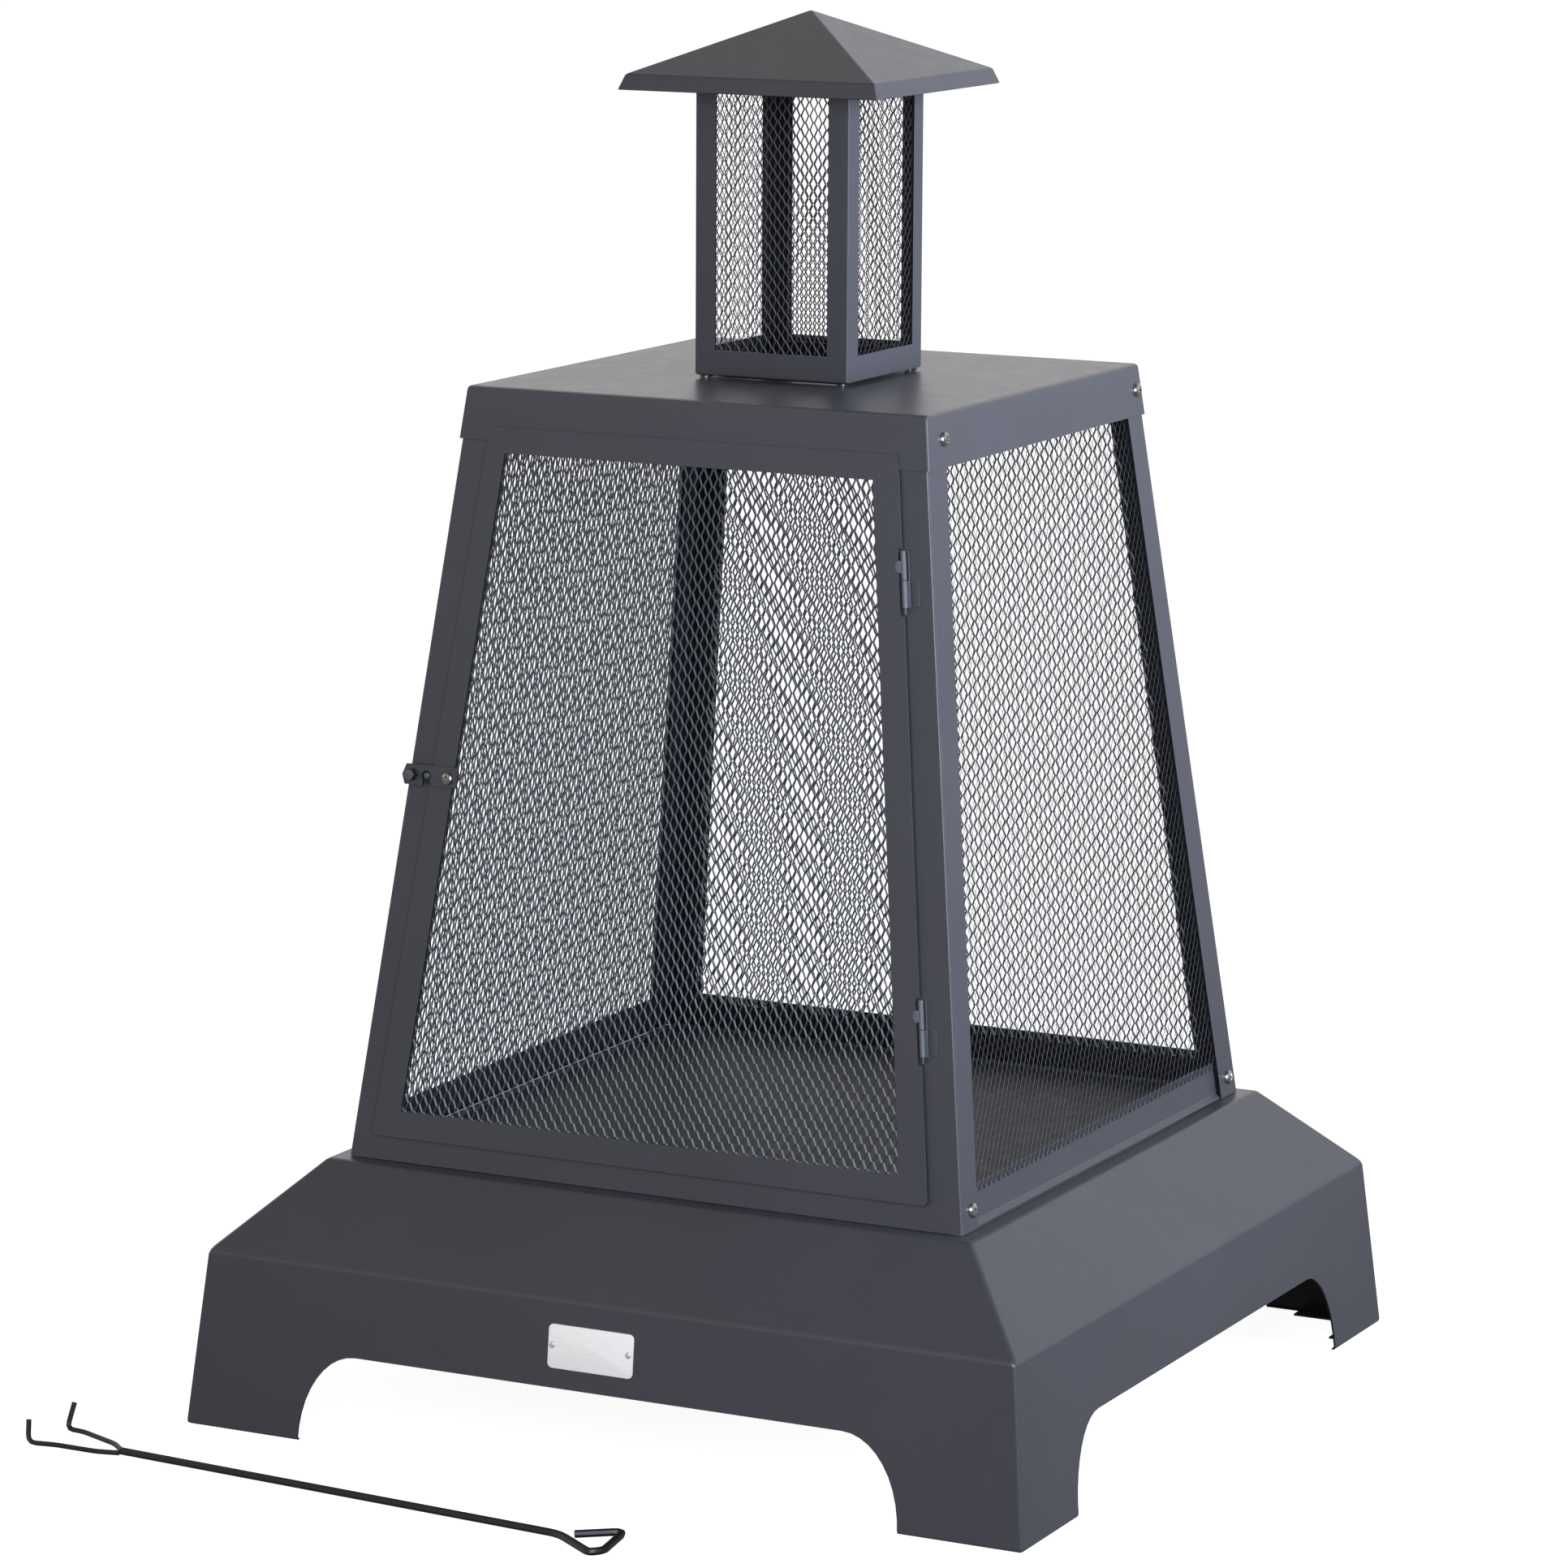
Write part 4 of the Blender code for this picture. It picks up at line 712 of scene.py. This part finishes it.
def make_door_knuckle(which, place):
    """Upper knuckle, on the door, with its round tab; returns the height of the knuckle's foot."""
    name = f"{which}_hinge_door_knuckle"
    points = vertices_in(name, place)
    low, high = min(p.z for p in points), max(p.z for p in points)
    tab = [p for p in points if p.x < -BARREL_RADIUS - TAB_CLEAR]
    tab_low, tab_high, tab_left = min(p.z for p in tab), max(p.z for p in tab), min(p.x for p in tab)
    tab_back, tab_face = max(p.y for p in tab), min(p.y for p in tab)
    middle, radius = (tab_low + tab_high) / 2, (tab_high - tab_low) / 2
    disc = [(tab_left + TAB_ROUND * (1 - math.sin(a)), middle + radius * math.cos(a))
            for a in (math.pi * i / TAB_STEPS for i in range(TAB_STEPS + 1))]
    bm = bmesh.new()
    rolled_barrel(bm, low, high)
    upright_slab(bm, [(TAB_START, tab_high)] + disc + [(TAB_START, tab_low)], tab_back, tab_face, TAB_EDGE)
    mesh = mesh_from(bm, name, HINGE_SMOOTH)
    piece_from(f"{which}_hinge_rolled_knuckle", mesh, HINGE_PAINT, "door", (name,), place)
    return low


def make_wall_leaf(which, place, knuckle_foot):
    """Lower knuckle, on the wall, with its leaf, and the pad pressed into the wall beside it."""
    name = f"{which}_hinge_frame_leaf"
    points = vertices_in(name, place)
    low, high, back = min(p.z for p in points), max(p.z for p in points), max(p.y for p in points)
    split = knuckle_foot - KNUCKLE_GAP
    bm = bmesh.new()
    rolled_barrel(bm, low, split)
    upright_box(bm, LEAF_RIB, low, high, back)
    upright_box(bm, LEAF_WEB, low, split, back)
    mesh = mesh_from(bm, name, HINGE_SMOOTH)
    piece_from(f"{which}_hinge_wall_leaf", mesh, HINGE_PAINT, "body", (name,), place)
    bm = bmesh.new()
    upright_box(bm, LEAF_PAD, low, split, back, PAD_CORNER)
    pad = piece_from(f"{which}_hinge_pad", mesh_from(bm, "pad", HINGE_SMOOTH), COAT, "body", (), place)


for which in ("upper", "lower"):
    hinge_place = hinge_frame(which)
    make_wall_leaf(which, hinge_place, make_door_knuckle(which, hinge_place))


# ---------------------------------------------------------------- floor, light and camera
FLOOR_SIZE, FLOOR_TONE, FLOOR_GLOW, FLOOR_ROUGHNESS = 60.0, 0.32, 0.93, 0.9

# share of the way from straight down to straight up, and the sky's colour there
SKY_STOPS = [(0.0, (0.30, 0.30, 0.30)), (0.44, (0.32, 0.32, 0.32)), (0.52, (0.86, 0.86, 0.86)),
             (0.60, (1.0, 1.0, 1.0)), (0.70, (1.0, 1.0, 1.0)), (0.82, (0.45, 0.415, 0.385)),
             (0.92, (0.39, 0.355, 0.325)), (0.98, (0.115, 0.100, 0.088)), (1.0, (0.090, 0.080, 0.070))]
# the sky is stronger behind the chiminea and weaker on its right: the direction's range and the strength's
SKY_DEPTH = ((-0.8, 0.4), (0.74, 1.10))
SKY_SIDE = ((-0.2, 0.3), (1.0, 0.60))

CAMERA_AZIMUTH, CAMERA_ELEVATION = math.radians(26.6866), math.radians(10.5192)
CAMERA_ROLL = math.radians(0.3397)
CAMERA_PLACE = CENTRE + Vector((2.07533, -4.16665, 1.33328))
LENS_MM, SENSOR_MM, FAR_LIMIT = 140.76, 36.0, 200.0


def make_floor():
    """Pale floor under the chiminea."""
    bm = bmesh.new()
    bmesh.ops.create_grid(bm, x_segments=1, y_segments=1, size=FLOOR_SIZE)
    floor = bpy.data.objects.new("floor", mesh_from(bm, "floor"))
    bpy.context.scene.collection.objects.link(floor)
    made, tree, shader = shader_of("pale_floor")
    shader.inputs["Base Color"].default_value = (FLOOR_TONE, FLOOR_TONE, FLOOR_TONE, 1)
    shader.inputs["Roughness"].default_value = FLOOR_ROUGHNESS
    shader.inputs["Specular IOR Level"].default_value = 0.0
    shader.inputs["Emission Color"].default_value = (1, 1, 1, 1)
    shader.inputs["Emission Strength"].default_value = FLOOR_GLOW
    paint(floor, made)
    floor.visible_glossy = False
    floor.visible_diffuse = False


def make_sky():
    """Soft studio sky: white at the horizon, warmer and greyer overhead, greyer in front."""
    world = bpy.data.worlds.new("studio")
    bpy.context.scene.world = world
    world.use_nodes = True
    tree = world.node_tree
    coords = node(tree, "ShaderNodeTexCoord").outputs["Generated"]
    axes = node(tree, "ShaderNodeSeparateXYZ")
    tree.links.new(coords, axes.inputs["Vector"])
    sky = ramp(tree, mapped(tree, axes.outputs["Z"], (-1.0, 1.0), (0.0, 1.0)), SKY_STOPS)
    strength = node(tree, "ShaderNodeMath", set_operation="MULTIPLY")
    tree.links.new(mapped(tree, axes.outputs["Y"], *SKY_DEPTH), strength.inputs[0])
    tree.links.new(mapped(tree, axes.outputs["X"], *SKY_SIDE), strength.inputs[1])
    background = tree.nodes["Background"]
    tree.links.new(sky, background.inputs["Color"])
    tree.links.new(strength.outputs["Value"], background.inputs["Strength"])


def area_light(name, place, target, size, power, colour, spread, glints):
    """Soft box that looks at a point; spread in degrees; glints says whether glossy paint shows it."""
    data = bpy.data.lights.new(name, "AREA")
    data.shape, data.size, data.size_y, data.energy = "RECTANGLE", size[0], size[1], power
    data.color, data.spread = colour, math.radians(spread)
    lamp = bpy.data.objects.new(name, data)
    bpy.context.scene.collection.objects.link(lamp)
    lamp.location = place
    lamp.rotation_euler = (Vector(target) - Vector(place)).to_track_quat("-Z", "Y").to_euler()
    lamp.visible_camera = False
    lamp.visible_glossy = glints


def make_camera():
    """Camera in front of the chiminea, to its right and a little above, looking slightly down."""
    level = math.cos(CAMERA_ELEVATION)
    back = Vector((math.sin(CAMERA_AZIMUTH) * level, -math.cos(CAMERA_AZIMUTH) * level,
                   math.sin(CAMERA_ELEVATION)))
    right = Vector((0, 0, 1)).cross(back).normalized()
    up = back.cross(right)
    turned_right = math.cos(CAMERA_ROLL) * right + math.sin(CAMERA_ROLL) * up
    turned_up = -math.sin(CAMERA_ROLL) * right + math.cos(CAMERA_ROLL) * up
    data = bpy.data.cameras.new("camera")
    data.lens, data.sensor_width, data.clip_end = LENS_MM, SENSOR_MM, FAR_LIMIT
    camera = bpy.data.objects.new("camera", data)
    bpy.context.scene.collection.objects.link(camera)
    turned = Matrix((turned_right, turned_up, back)).transposed().to_4x4()
    camera.matrix_world = Matrix.Translation(CAMERA_PLACE) @ turned
    bpy.context.scene.camera = camera


make_floor()
make_sky()
area_light("side_box", place=(2.45, 0.40, 1.20), target=CENTRE + Vector((0, 0, 0.98)), size=(1.1, 1.5),
           power=40.0, colour=(0.74, 0.82, 1.0), spread=70, glints=False)
area_light("front_box", place=(1.05, -2.0, 1.10), target=CENTRE + Vector((0, 0, 0.45)), size=(1.2, 1.2),
           power=54.0, colour=(0.78, 0.85, 1.0), spread=180, glints=True)
make_camera()
bpy.context.scene.view_settings.view_transform = "Standard"
bpy.context.scene.view_settings.look = "None"
